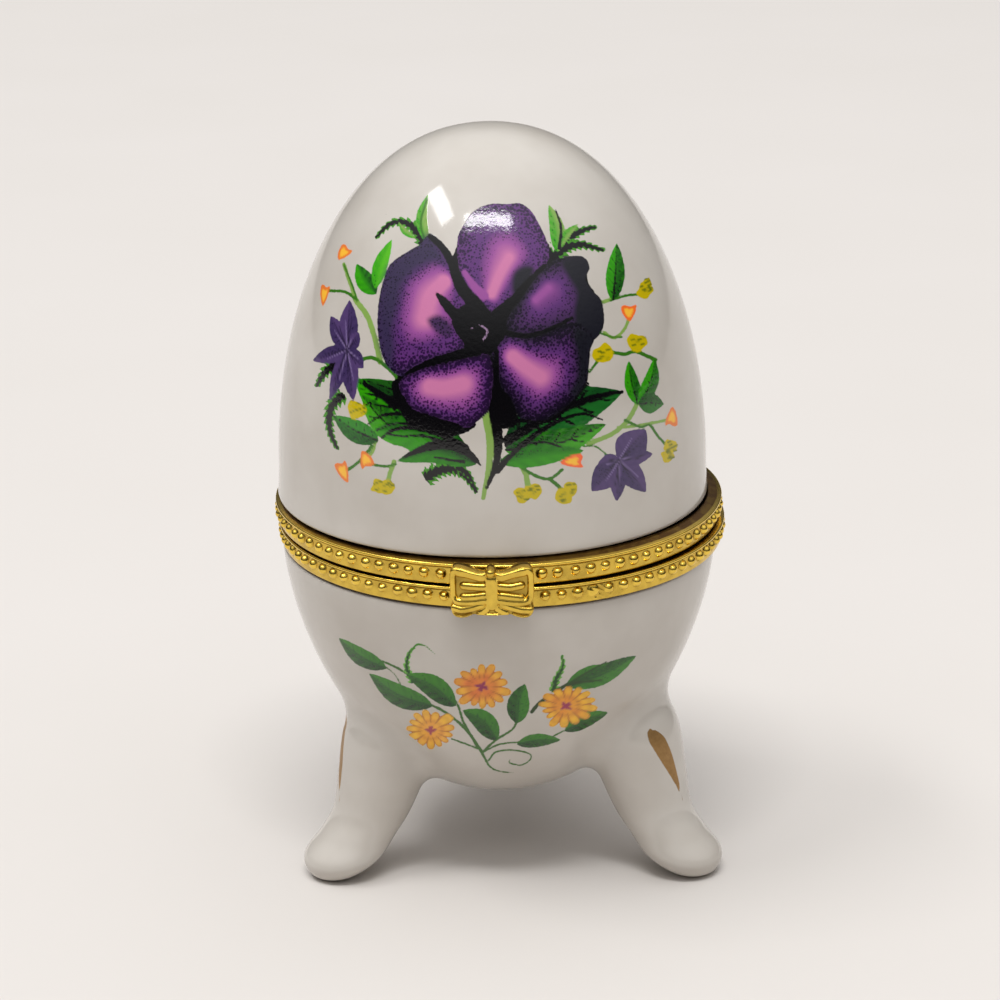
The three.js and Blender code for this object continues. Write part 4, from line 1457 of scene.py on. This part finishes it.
def print_spray(sheet: Sheet) -> None:
    """Draws the bowl's transfer: three daisies on a spray of leaves, with a curled tendril.

    Args:
        sheet: The empty sheet.
    """
    grass, bottle, stem = "#368118", "#104410", "#36671e"
    for points, width, ends in (
        (((0.0, 0.0), (-2.1, 3.0), (-4.9, 5.4), (-7.7, 6.8), (-10.3, 8.4)), 0.36, (1.2, 0.8)),
        (((-0.5, 0.5), (-2.4, 4.0), (-3.4, 6.7), (-5.5, 8.3)), 0.36, (1.0, 0.8)),
        (((0.0, -0.1), (1.9, 1.6), (4.0, 2.9), (4.8, 4.2)), 0.34, (1.0, 0.8)),
        (((0.1, 0.0), (2.4, 1.0), (5.3, 1.3)), 0.26, (1.0, 0.8)),
        (((9.5, 2.0), (11.2, 2.8), (13.1, 3.1)), 0.2, (1.0, 1.0)),
        (((-0.4, 0.4), (-1.9, 1.0), (-4.0, 1.8)), 0.26, (1.0, 0.8)),
        (((-0.1, 0.1), (1.0, -1.9), (2.4, -2.6), (4.2, -2.8)), 0.3, (1.3, 0.3)),
        (((0.9, -1.1), (1.9, 0.0), (4.1, 0.2), (6.3, -0.3), (6.4, -1.1), (5.2, -1.8), (3.7, -1.5),
          (3.7, -1.1)), 0.22, (1.1, 0.8)),
        (((-13.2, 11.9), (-11.4, 10.3), (-10.3, 8.1)), 0.22, (0.6, 1.0)),
        (((-13.5, 12.4), (-11.1, 11.3), (-9.2, 10.0), (-6.8, 7.8)), 0.42, (0.6, 1.0)),
    ):
        sheet.stroke(points, width, stem, ends)
    for points, width in (
        (((-9.0, 9.4), (-9.9, 11.3), (-9.6, 13.2), (-8.8, 14.1)), 1.3),
        (((9.6, 7.9), (10.0, 9.5), (10.9, 11.3), (10.8, 12.8)), 1.5),
    ):
        sheet.frond(points, width * 1.2, "#6fb946", 0.8)
        sheet.frond(points, width * 0.7, bottle, 0.6)
    sheet.stroke(((-9.3, 13.6), (-8.5, 14.4), (-7.4, 14.2), (-6.1, 13.1)), 0.34, "#468428", (1.0, 0.3))
    for root, tip, width, bend, shaded in (
        ((-12.7, 11.3), (-18.9, 15.4), 2.3, 0.5, 1),
        ((-6.6, 6.2), (-14.9, 10.6), 2.9, 0.75, 1),
        ((-3.5, 6.2), (-10.0, 10.5), 3.0, -0.6, 1),
        ((2.0, 1.6), (-2.5, 5.6), 2.9, -0.7, 1),
        ((4.7, 3.8), (5.8, 9.0), 3.0, 0.3, 1),
        ((11.3, 8.7), (20.7, 12.6), 2.7, -0.5, 1),
        ((11.4, 8.7), (16.7, 11.5), 1.7, 0.2, -1),
        ((11.1, 2.7), (16.9, 5.1), 2.1, 0.3, -1),
        ((4.7, 1.0), (10.5, 1.5), 1.8, 0.25, -1),
    ):
        sheet.leaf(root, tip, width, bend, grass, bottle, 0.22, "#164c16", shaded)
    sheet.stroke(((6.7, 5.3), (7.9, 6.6), (9.4, 7.4)), 0.5, "#243f0e", (1.0, 0.7))
    sheet.stroke(((10.0, 8.0), (11.6, 8.9), (13.7, 9.2), (16.1, 9.4)), 0.5, "#243f0e", (1.0, 0.4))
    sheet.stroke(((11.6, 8.9), (14.2, 10.5), (16.7, 11.8)), 0.34, "#20470e", (1.0, 0.6))
    lines = "#b56229"
    sheet.daisy((0.1, 8.7), (4.1, 3.1), 14, ("#f8bb3a", "#e57d38", lines, "#922f55"), 3)
    sheet.daisy((11.3, 6.0), (3.9, 2.9), 14, ("#ffc730", "#ec9830", lines, "#a03958"), 5)
    sheet.daisy((-6.8, 3.0), (3.5, 2.7), 13, ("#ffc93c", "#f3a93a", lines, "#a74050"), 8)


@dataclass(frozen=True)
class Bezel:
    """A stamped gilt band: a rolled lip above a groove, a row of beads, a plain skirt and a flange."""

    name: str
    node: str
    body: Body
    bottom: float
    bead_drop: float
    flange_at_top: bool
    shift: float = 0.0
    radius: float = BAND_RADIUS
    height: float = 2.82
    thickness: float = 0.7
    edge_round: float = 0.12
    belly: float = 0.05  # how far the face bulges
    lip_height: float = 0.4
    lip_reach: float = 0.45
    groove_height: float = 0.2
    flange_width: float = 1.6
    flange_thickness: float = 0.5
    bead_radius: float = 0.66
    bead_rise: float = 0.56
    beads: int = 86
    columns: int = 16  # points round the band for each bead
    unevenness: float = 0.035
    seed: int = 1
    crushed: tuple[float, float] = (0.0, 0.0)  # azimuths between which beads are flattened
    covered: tuple[tuple[float, float], ...] = ((-1.8, 9.4), (180.0, 8.8))  # under the bow and the hinge

    def profile(self) -> list[Point]:
        """Section of the band, once round.

        Returns:
            Radius and height of each point.
        """
        top = self.bottom + self.height
        lip = top - self.lip_height
        inner = self.radius - self.thickness
        outer = self.radius + self.lip_reach
        face_top = lip - self.groove_height
        rise = face_top - self.bottom - self.edge_round
        face = [
            (self.radius + self.belly * math.sin(math.pi * t), self.bottom + self.edge_round + rise * t)
            for t in np.linspace(0, 1, 21)
        ]
        roll = [
            (outer - 0.2 + 0.2 * math.sin(a), lip + 0.2 - 0.2 * math.cos(a))
            for a in np.linspace(0, math.pi, 9)
        ]
        outside = [
            (self.radius - 0.1, self.bottom), *face, (self.radius - 0.12, face_top + 0.07),
            (self.radius - 0.12, lip - 0.02), (outer - 0.35, lip - 0.01), *roll, (outer - 0.5, top - 0.02),
        ]
        ledge = inner - self.flange_width
        if self.flange_at_top:
            inside = [(ledge + 0.1, top), (ledge, top - self.edge_round),
                      (ledge, top - self.flange_thickness),
                      (inner, top - self.flange_thickness), (inner, self.bottom)]
        else:
            glue = (  # the seam that holds the dome: radius, and height above the band's top
                (29.0, 0.08), (28.7, 0.12), (28.3, 0.28), (27.9, 0.42), (27.7, 0.1), (28.0, -0.4),
                (inner, -0.6),
            )
            inside = [*((r, top + z) for r, z in glue), (inner, self.bottom + self.flange_thickness),
                      (ledge, self.bottom + self.flange_thickness), (ledge, self.bottom + self.edge_round),
                      (ledge + 0.1, self.bottom)]
        return [*outside, *inside, outside[0]]

    def bead_heights(self, around: Array, height: Array) -> Array:
        """Height of the beads above the face.

        Args:
            around: Azimuth of each point.
            height: Height of each point.

        Returns:
            How far each point stands out.
        """
        rng = np.random.default_rng(self.seed)
        pitch = 360 / self.beads
        index = np.floor((around % 360) / pitch).astype(int) % self.beads
        middle = (np.arange(self.beads) + 0.5) * pitch
        sideways = rng.normal(0, 0.05, self.beads)
        upward = rng.normal(0, 0.03, self.beads)
        size = self.bead_radius * (1 + rng.normal(0, 0.05, self.beads))
        rise = self.bead_rise * (1 + rng.normal(0, 0.07, self.beads))
        signed = (middle + 180) % 360 - 180
        crushed = (signed > self.crushed[0]) & (signed < self.crushed[1])
        rise = np.where(crushed, rise * 0.45, rise)
        size = np.where(crushed, size * 1.25, size)
        for at, half in self.covered:
            apart = np.abs((middle - at + 180) % 360 - 180)
            rise = np.where(apart < half + pitch / 2, 0.0, rise)
        arc = math.radians(1) * self.radius
        across = ((around - middle[index] + 180) % 360 - 180) * arc - sideways[index]
        above = height - (self.bottom + self.height - self.bead_drop) - upward[index]
        share = np.hypot(across, above) / size[index]
        dome = np.sqrt(np.clip(1 - share**2, 0, 1)) * 0.85 + 0.15 * (1 - ease(share, 0, 1.15))
        crease = -0.05 * np.exp(-(((share - 1.12) / 0.14) ** 2))
        return rise[index] * dome + np.where(rise[index] > 0, crease, 0.0)

    def build(self, finish: Material) -> Object:
        """Makes the band.

        Args:
            finish: Its gold plate.

        Returns:
            The band.
        """
        mesh = to_mesh(turned(self.profile(), [(360.0, self.beads, self.columns)]), self.name)
        points = places(mesh)
        around = azimuth_of(points)
        reach = np.hypot(points[:, 0], points[:, 1])
        top = self.bottom + self.height
        face = (reach > self.radius - 0.02) & (points[:, 2] > self.bottom + 0.1)
        face &= points[:, 2] < top - self.lip_height - self.groove_height + 0.01
        out = np.where(face, self.bead_heights(around, points[:, 2]), 0.0)
        turn = np.radians(around)
        sway = sum(np.sin(k * turn + self.seed * k * 1.7) / k**0.5 for k in (3, 7, 13, 22, 41)) / 3
        out = out + np.where(reach > self.radius - 0.3, sway * self.unevenness, 0.0)
        if any(self.crushed):
            start, end = self.crushed
            wrinkle = ease(around, start, end) * (1 - ease(around, start + 3, end + 3))
            out = out + np.where(face, wrinkle * 0.06 * np.sin(points[:, 2] * 9 + turn * 160), 0.0)
        points[:, :2] *= ((reach + out) / reach)[:, None]
        points[:, 0] += self.shift
        move_to(mesh, points)
        hollow = np.where(reach < self.radius - 0.1, 0.9, 0.0)
        groove = np.abs(points[:, 2] - (top - self.lip_height - 0.08)) < 0.14
        hollow = np.where((reach >= self.radius - 0.3) & (reach < self.radius + 0.1) & groove, 0.75, hollow)
        hollow = np.where(face, 0.3 * (1 - ease(out, -0.05, 0.12)), hollow)
        mark(mesh, "hollow", hollow)
        return set_down(mesh, finish, self.body, Slot.GILT, self.node)


@dataclass(frozen=True)
class BowClasp:
    """Gilt bow pressed from sheet: two rimmed, pleated loops, two tails, a knot and a small ball."""

    width: float = 10.2
    height: float = 7.4
    grid: Point = (0.06, 0.06)
    radius: float = BAND_RADIUS
    middle_height: float = 46.3
    azimuth: float = -1.8
    back: float = 0.75
    floor: float = 0.9  # thickness of the sheet between its ridges
    seat: float = 0.28  # solder pad that carries the bow on the upper band
    seat_height: float = 46.8  # where the pad starts
    edge_roll: float = 0.3
    ball: Point = (-0.15, 2.62)
    ball_radius: float = 0.64
    ball_rise: float = 0.85

    def outline(self) -> Array:
        """Outer edge of the bow, drawn flat.

        Returns:
            Points round the edge.
        """
        return curve_through((
            (-0.20, 3.30), (-0.62, 3.07), (-0.89, 2.75), (-1.43, 2.75), (-2.42, 3.01), (-3.53, 3.33),
            (-4.40, 3.36), (-4.89, 3.01), (-5.04, 2.23), (-5.04, 0.52), (-4.99, -0.79), (-4.69, -1.39),
            (-4.96, -1.83), (-4.96, -2.62), (-4.64, -3.28), (-3.90, -3.59), (-3.04, -3.49), (-2.30, -3.15),
            (-1.19, -3.15), (-0.07, -3.20), (1.28, -3.15), (2.27, -3.15), (3.01, -3.49), (3.88, -3.59),
            (4.62, -3.36), (4.99, -2.75), (4.99, -1.97), (4.74, -1.39), (4.99, -0.79), (5.05, 0.52),
            (5.01, 2.23), (4.81, 3.01), (4.37, 3.38), (3.51, 3.41), (2.27, 3.01), (1.28, 2.75), (0.62, 2.75),
            (0.35, 3.07),
        ), closed=True, steps=5)

    def ridges(self) -> list[tuple[Sequence[Point], float, float]]:
        """Raised lines of the bow.

        Returns:
            For each, the places that it passes, half its width and its height above the sheet.
        """
        return [
            (((-1.06, 1.97), (-2.54, 2.69), (-3.78, 2.94), (-4.52, 2.80), (-4.77, 2.10), (-4.77, 0.52),
              (-4.69, -0.66), (-4.15, -1.26), (-2.67, -1.31), (-0.94, -1.05)), 0.54, 0.55),
            (((0.91, 1.97), (2.40, 2.65), (3.51, 3.01), (4.25, 2.91), (4.69, 2.10), (4.74, 0.52),
              (4.62, -0.66), (4.00, -1.34), (2.40, -1.31), (0.79, -1.05)), 0.54, 0.55),
            (((-1.31, 2.18), (-2.67, 2.57), (-3.78, 2.75)), 0.8, 0.66),
            (((1.16, 2.18), (2.40, 2.57), (3.63, 2.80)), 0.8, 0.66),
            (((-3.28, 0.79), (-2.30, 0.73), (-1.06, 0.68)), 0.54, 0.5),
            (((-3.28, -0.71), (-2.17, -0.63), (-1.06, -0.45)), 0.54, 0.5),
            (((1.04, 0.73), (2.15, 0.63), (3.38, 0.84)), 0.54, 0.5),
            (((1.16, -0.47), (2.27, -0.66), (3.38, -0.84)), 0.54, 0.5),
            (((-4.52, -2.18), (-3.65, -2.36), (-2.54, -2.15), (-1.31, -1.70)), 0.52, 0.5),
            (((1.28, -1.63), (2.40, -2.04), (3.38, -2.36), (4.49, -2.49)), 0.52, 0.5),
            (((-4.69, -2.70), (-4.27, -3.20), (-3.53, -3.33), (-2.54, -3.01)), 0.22, 0.26),
            (((2.52, -2.96), (3.38, -3.28), (4.12, -3.33), (4.74, -2.83)), 0.22, 0.26),
            (((-1.68, -2.94), (-0.07, -2.99), (1.78, -2.94)), 0.24, 0.3),
            (((-0.20, -1.70), (-0.81, -2.36), (-1.31, -2.75)), 0.5, 0.3),
            (((0.05, -1.70), (0.91, -2.36), (1.53, -2.75)), 0.5, 0.3),
            (((-0.02, 1.57), (-0.02, 0.13), (-0.02, -1.57)), 0.85, 0.58),
            (((0.59, 1.57), (0.57, 0.13), (0.54, -1.44)), 0.2, 0.62),
        ]

    def relief(self, x: Array, y: Array) -> tuple[Array, Array]:
        """Height of the pressed sheet above its back.

        Args:
            x: Across.
            y: Up.

        Returns:
            Height of each point, and how hollow the place is, from 0 to 1.
        """
        raised = np.zeros(len(x))
        for points, half, rise in self.ridges():
            away, _, _ = measure(x, y, curve_through(points))
            raised = np.maximum(raised, rise * np.sqrt(np.clip(1 - (away / half) ** 2, 0, 1)) ** 0.9)
        away = np.hypot(x - self.ball[0], y - self.ball[1])
        dome = np.sqrt(np.clip(1 - (away / self.ball_radius) ** 2, 0, 1))
        raised = np.maximum(raised, self.ball_rise * dome)
        inside = inside_outline(x, y, self.outline())
        roll = np.sqrt(np.clip(1 - (1 - np.clip(inside, 0, self.edge_roll) / self.edge_roll) ** 2, 0, 1))
        height = (self.floor + raised) * (0.35 + 0.65 * roll)
        return height, 1 - ease(raised, 0.02, 0.3)

    def build(self, finish: Material) -> Object:
        """Makes the bow from a flat grid, trims it to its outline, presses it and bends it.

        Args:
            finish: Its gold plate.

        Returns:
            The bow.
        """
        bm = bmesh.new()
        counts = [round(size / step) for size, step in zip((self.width, self.height), self.grid)]
        bmesh.ops.create_grid(bm, x_segments=counts[0], y_segments=counts[1], size=1.0)
        bmesh.ops.scale(bm, vec=(self.width / 2, self.height / 2, 1), verts=bm.verts)
        outline = self.outline()
        centres = np.array([f.calc_center_median()[:2] for f in bm.faces])
        keep = inside_outline(centres[:, 0], centres[:, 1], outline) > 0
        bm.faces.ensure_lookup_table()
        bmesh.ops.delete(bm, geom=[f for f, k in zip(bm.faces, keep) if not k], context="FACES")
        rim = [v for v in bm.verts if v.is_boundary]
        flat = np.array([v.co[:2] for v in rim])
        segment = outline[:-1], np.diff(outline, axis=0)
        for vert, place in zip(rim, flat):
            t = np.clip(((place - segment[0]) * segment[1]).sum(1) / (segment[1] ** 2).sum(1), 0, 1)
            spots = segment[0] + segment[1] * t[:, None]
            vert.co[:2] = spots[np.hypot(*(spots - place).T).argmin()]
        within = [v for v in bm.verts if not v.is_boundary]
        bmesh.ops.smooth_vert(bm, verts=within, factor=0.4, use_axis_x=True, use_axis_y=True)
        front = bmesh.ops.extrude_face_region(bm, geom=bm.faces[:])["geom"]
        front = [v for v in front if isinstance(v, BMVert)]
        for vert in front:
            vert.co.z = 1.0
        bmesh.ops.recalc_face_normals(bm, faces=bm.faces)
        mesh = to_mesh(bm, "bow_clasp_gilt")
        flat = places(mesh) * MM  # the sheet was drawn in millimetres
        raised, hollow = self.relief(flat[:, 0], flat[:, 1])
        seat = np.where(flat[:, 1] + self.middle_height > self.seat_height, -self.seat, 0.0)
        out = self.radius + self.back + np.where(flat[:, 2] > 0.5, raised, seat)
        turn = flat[:, 0] / self.radius + math.radians(self.azimuth)
        bent = np.column_stack([out * np.sin(turn), -out * np.cos(turn), self.middle_height + flat[:, 1]])
        move_to(mesh, bent)
        mark(mesh, "hollow", np.where(flat[:, 2] > 0.5, 0.16 + 0.36 * hollow, 0.8))
        return set_down(mesh, finish, Body.LID, Slot.GILT, "bow_clasp")


@dataclass(frozen=True)
class Hinge:
    """Small hinge behind the bands: two curved leaves with rolled knuckles, and a pin with domed ends."""

    width: float = 9.0
    radius: float = BAND_RADIUS
    back: float = 0.47
    leaf_thickness: float = 0.78
    leaf_height: float = 2.2
    leaf_round: float = 0.14
    parting: float = 46.45
    gap: float = 0.25
    axis_reach: float = 31.05
    knuckle: float = 2.2
    knuckle_round: float = 0.18
    pin: float = 0.8
    pin_round: float = 0.32
    pin_past: float = 0.5  # how much longer the pin is than the leaves
    lid_knuckle: float = 3.2
    end_play: float = 0.3

    def barrel(self, bm: BMesh, diameter: float, width: float, middle: float, round_off: float) -> None:
        """Adds a round bar along the hinge's axis with rounded rims.

        Args:
            bm: Mesh that gets it.
            diameter: Its diameter.
            width: Its length.
            middle: Its middle across the box.
            round_off: Size of the rounding at its ends.
        """
        radius = diameter / 2 * MM
        bar = bmesh.ops.create_cone(
            bm, cap_ends=True, segments=40, radius1=radius, radius2=radius, depth=width * MM
        )["verts"]
        bmesh.ops.rotate(bm, verts=bar, cent=(0, 0, 0), matrix=Matrix.Rotation(math.pi / 2, 3, "Y"))
        edges = {edge for vert in bar for edge in vert.link_edges}
        ends = [e for e in edges if abs(e.verts[0].co.x - e.verts[1].co.x) < 1e-7]
        place = Vector((middle, self.axis_reach, self.parting)) * MM
        rims = bmesh.ops.bevel(
            bm, geom=ends, offset=round_off * MM, segments=4, profile=0.5, affect="EDGES", material=-1
        )["verts"]
        moved = {v for v in bar if v.is_valid} | set(rims)
        bmesh.ops.translate(bm, verts=list(moved), vec=place)

    def leaf(self, bm: BMesh, side: int) -> None:
        """Makes one curved leaf on the back of its band.

        Args:
            bm: Empty mesh that gets it.
            side: +1 for the lid's leaf above the parting, -1 for the base's.
        """
        block = bmesh.ops.create_cube(bm, size=1.0)["verts"]
        bmesh.ops.scale(bm, verts=block, vec=(self.width, self.leaf_thickness, self.leaf_height))
        long = [e for e in bm.edges if abs(e.verts[0].co.x - e.verts[1].co.x) > self.width / 2]
        bmesh.ops.subdivide_edges(bm, edges=long, cuts=15, use_grid_fill=True)
        rim = [e for e in bm.edges if e.is_manifold and e.calc_face_angle(0.0) > 1.0]
        bmesh.ops.bevel(
            bm, geom=rim, offset=self.leaf_round, segments=3, profile=0.5, affect="EDGES", material=-1
        )
        middle = self.parting + side * (self.gap + self.leaf_height / 2)
        for vert in bm.verts:
            turn = vert.co.x / self.radius
            out = self.radius + self.back + self.leaf_thickness / 2 + vert.co.y
            vert.co = Vector((out * math.sin(turn), out * math.cos(turn), middle + vert.co.z)) * MM

    def build(self, finish: Material) -> list[Object]:
        """Makes both leaves and the pin.

        Args:
            finish: Their plated brass.

        Returns:
            The base's leaf, the lid's leaf and the pin.
        """
        outer = (self.width - self.lid_knuckle) / 2 - self.end_play
        off = self.width / 2 - outer / 2
        made = []
        for name, node, body, side, knuckles in (
            ("hinge_leaf_of_base", "base_hinge_leaf", Body.BASE, -1, ((-off, outer), (off, outer))),
            ("hinge_leaf_of_lid", "lid_hinge_leaf", Body.LID, 1, ((0.0, self.lid_knuckle),)),
            ("hinge_pin_domed", "hinge_pin", Body.BASE, 0, ()),
        ):
            bm = bmesh.new()
            if side:
                self.leaf(bm, side)
            for middle, width in knuckles:
                self.barrel(bm, self.knuckle, width, middle, self.knuckle_round)
            if not side:
                self.barrel(bm, self.pin, self.width + self.pin_past, 0.0, self.pin_round)
            bmesh.ops.recalc_face_normals(bm, faces=bm.faces)
            mesh = to_mesh(bm, name)
            points = places(mesh)
            inner = np.hypot(points[:, 0], points[:, 1]) < self.radius + self.back + 0.1
            mark(mesh, "hollow", np.where(inner, 0.8, 0.1))
            made.append(set_down(mesh, finish, body, Slot.BRASS, node))
        return made


@dataclass(frozen=True)
class Window:
    """A flat lamp that lights the box from one side and shows as a window in the glaze."""

    name: str
    azimuth: float
    elevation: float
    distance: float  # from the box, in metres
    size: tuple[float, float]  # width and height, in metres
    power: float  # in watts
    colour: str = "#ffffff"

    def build(self, aim: Vector) -> None:
        """Hangs the lamp so that it faces the box.

        Args:
            aim: Point that it faces.
        """
        data = bpy.data.lights.new(self.name, "AREA")
        data.shape = "RECTANGLE"
        data.size, data.size_y = self.size
        data.energy = self.power
        data.color = linear(self.colour)[:3]
        lamp = bpy.data.objects.new(self.name, data)
        a, e = math.radians(self.azimuth), math.radians(self.elevation)
        way = Vector((math.sin(a) * math.cos(e), -math.cos(a) * math.cos(e), math.sin(e)))
        lamp.location = aim + way * self.distance
        lamp.rotation_euler = way.to_track_quat("Z", "Y").to_euler()
        bpy.context.scene.collection.objects.link(lamp)


@dataclass(frozen=True)
class Studio:
    """Pale paper floor, a soft sky of light that is brightest overhead, and the camera."""

    floor_size: float = 6.0
    zenith: str = "#ffffff"
    horizon: str = "#323232"
    backdrop: str = "#d8d4d0"  # what is seen past the edge of the floor
    sky_strength: float = 1.31
    dark_below: float = 0.28  # sine of the elevation up to which the sky stays dark
    windows: tuple[Window, ...] = (
        Window("front_window", azimuth=-2.3, elevation=67.5, distance=3.0, size=(1.45, 0.34), power=35.0),
        Window("left_window", azimuth=-78.7, elevation=62.4, distance=3.0, size=(1.3, 0.42), power=18.6),
    )
    aim: tuple[float, float, float] = (0.0, 0.0, AIM_HEIGHT * MM)
    distance: float = VIEW_REACH * MM
    elevation: float = VIEW_TILT
    roll: float = 0.64
    lens: float = 119.66
    shift: Point = (0.0013, 0.0005)

    def sky(self) -> None:
        """Lights the scene from all round, brightest from above."""
        world = bpy.data.worlds.new("soft_sky")
        world.use_nodes = True
        world.node_tree.nodes.clear()
        add = partial(add_node, world.node_tree)
        way = add("ShaderNodeTexCoord").outputs["Generated"]
        height = add("ShaderNodeSeparateXYZ", {"Vector": way}).outputs["Z"]
        share = add("ShaderNodeMapRange", {"Value": height, "From Min": self.dark_below}).outputs["Result"]
        seen = add("ShaderNodeLightPath").outputs["Is Camera Ray"]
        colour = linear(self.horizon)
        for mask, other in ((share, self.zenith), (seen, self.backdrop)):
            colour = add(
                "ShaderNodeMix", {0: mask, 6: colour, 7: linear(other)}, data_type="RGBA"
            ).outputs[2]
        light = add("ShaderNodeBackground", {"Color": colour, "Strength": self.sky_strength})
        add("ShaderNodeOutputWorld", {"Surface": light.outputs[0]})
        bpy.context.scene.world = world

    def floor(self) -> None:
        """Lays the paper floor."""
        bm = bmesh.new()
        bmesh.ops.create_grid(bm, x_segments=8, y_segments=8, size=self.floor_size / 2)
        mesh = to_mesh(bm, "paper_floor")
        mesh.materials.append(BackdropPaper().material())
        sheet = bpy.data.objects.new("paper_floor", mesh)
        bpy.context.scene.collection.objects.link(sheet)

    def camera(self) -> None:
        """Sets up the camera with its long lens and its slight roll."""
        data = bpy.data.cameras.new("camera")
        data.lens, data.sensor_width = self.lens, 36.0
        data.shift_x, data.shift_y = self.shift
        data.clip_start, data.clip_end = 0.01, 20.0
        e, roll = math.radians(self.elevation), math.radians(self.roll)
        back = Vector((0, -math.cos(e), math.sin(e)))
        right = Vector((1, 0, 0))
        up = back.cross(right)
        axes = Matrix((
            math.cos(roll) * right - math.sin(roll) * up,
            math.sin(roll) * right + math.cos(roll) * up,
            back,
        )).transposed()
        eye = bpy.data.objects.new("camera", data)
        eye.matrix_world = Matrix.Translation(Vector(self.aim) + back * self.distance) @ axes.to_4x4()
        bpy.context.scene.collection.objects.link(eye)
        bpy.context.scene.camera = eye

    def build(self) -> None:
        """Sets up floor, lights and camera, and shows colours as they are."""
        self.floor()
        self.sky()
        for window in self.windows:
            window.build(Vector(self.aim))
        self.camera()
        view = bpy.context.scene.view_settings
        view.view_transform = "Standard"
        view.look = "None"
        view.exposure = 0.0
        view.gamma = 1.0


def main() -> None:
    """Builds the box piece by piece, logs each piece's face count, then sets up the studio."""
    logging.basicConfig(level=logging.INFO, format="%(message)s")
    glazed = GlazedPorcelain().material()
    gilt = GoldPlate(
        "gold_plate_on_stamped_metal", bright="#f5d05a", tarnish="#644620", smooth=0.16, dull=0.42
    ).material()
    plated = GoldPlate(
        "plated_brass_hinge", bright="#dcb65a", tarnish="#50351a", smooth=0.26, dull=0.5
    ).material()
    pieces = [
        LidShell().build(glazed),
        BowlAndLegs().build(glazed),
        Bezel(
            "lid_bezel_gilt", "lid_bezel", Body.LID, bottom=46.58, bead_drop=1.5, flange_at_top=False, seed=2
        ).build(gilt),
        Bezel(
            "base_bezel_gilt", "base_bezel", Body.BASE, bottom=43.5, bead_drop=1.39, flange_at_top=True,
            shift=0.4, seed=7, crushed=(19.0, 27.0),
        ).build(gilt),
        BowClasp().build(gilt),
        *Hinge().build(plated),
    ]
    for piece in pieces:
        log.info("%s: %d faces", piece.name, len(piece.data.polygons))
    Studio().build()


if __name__ == "__main__":
    main()
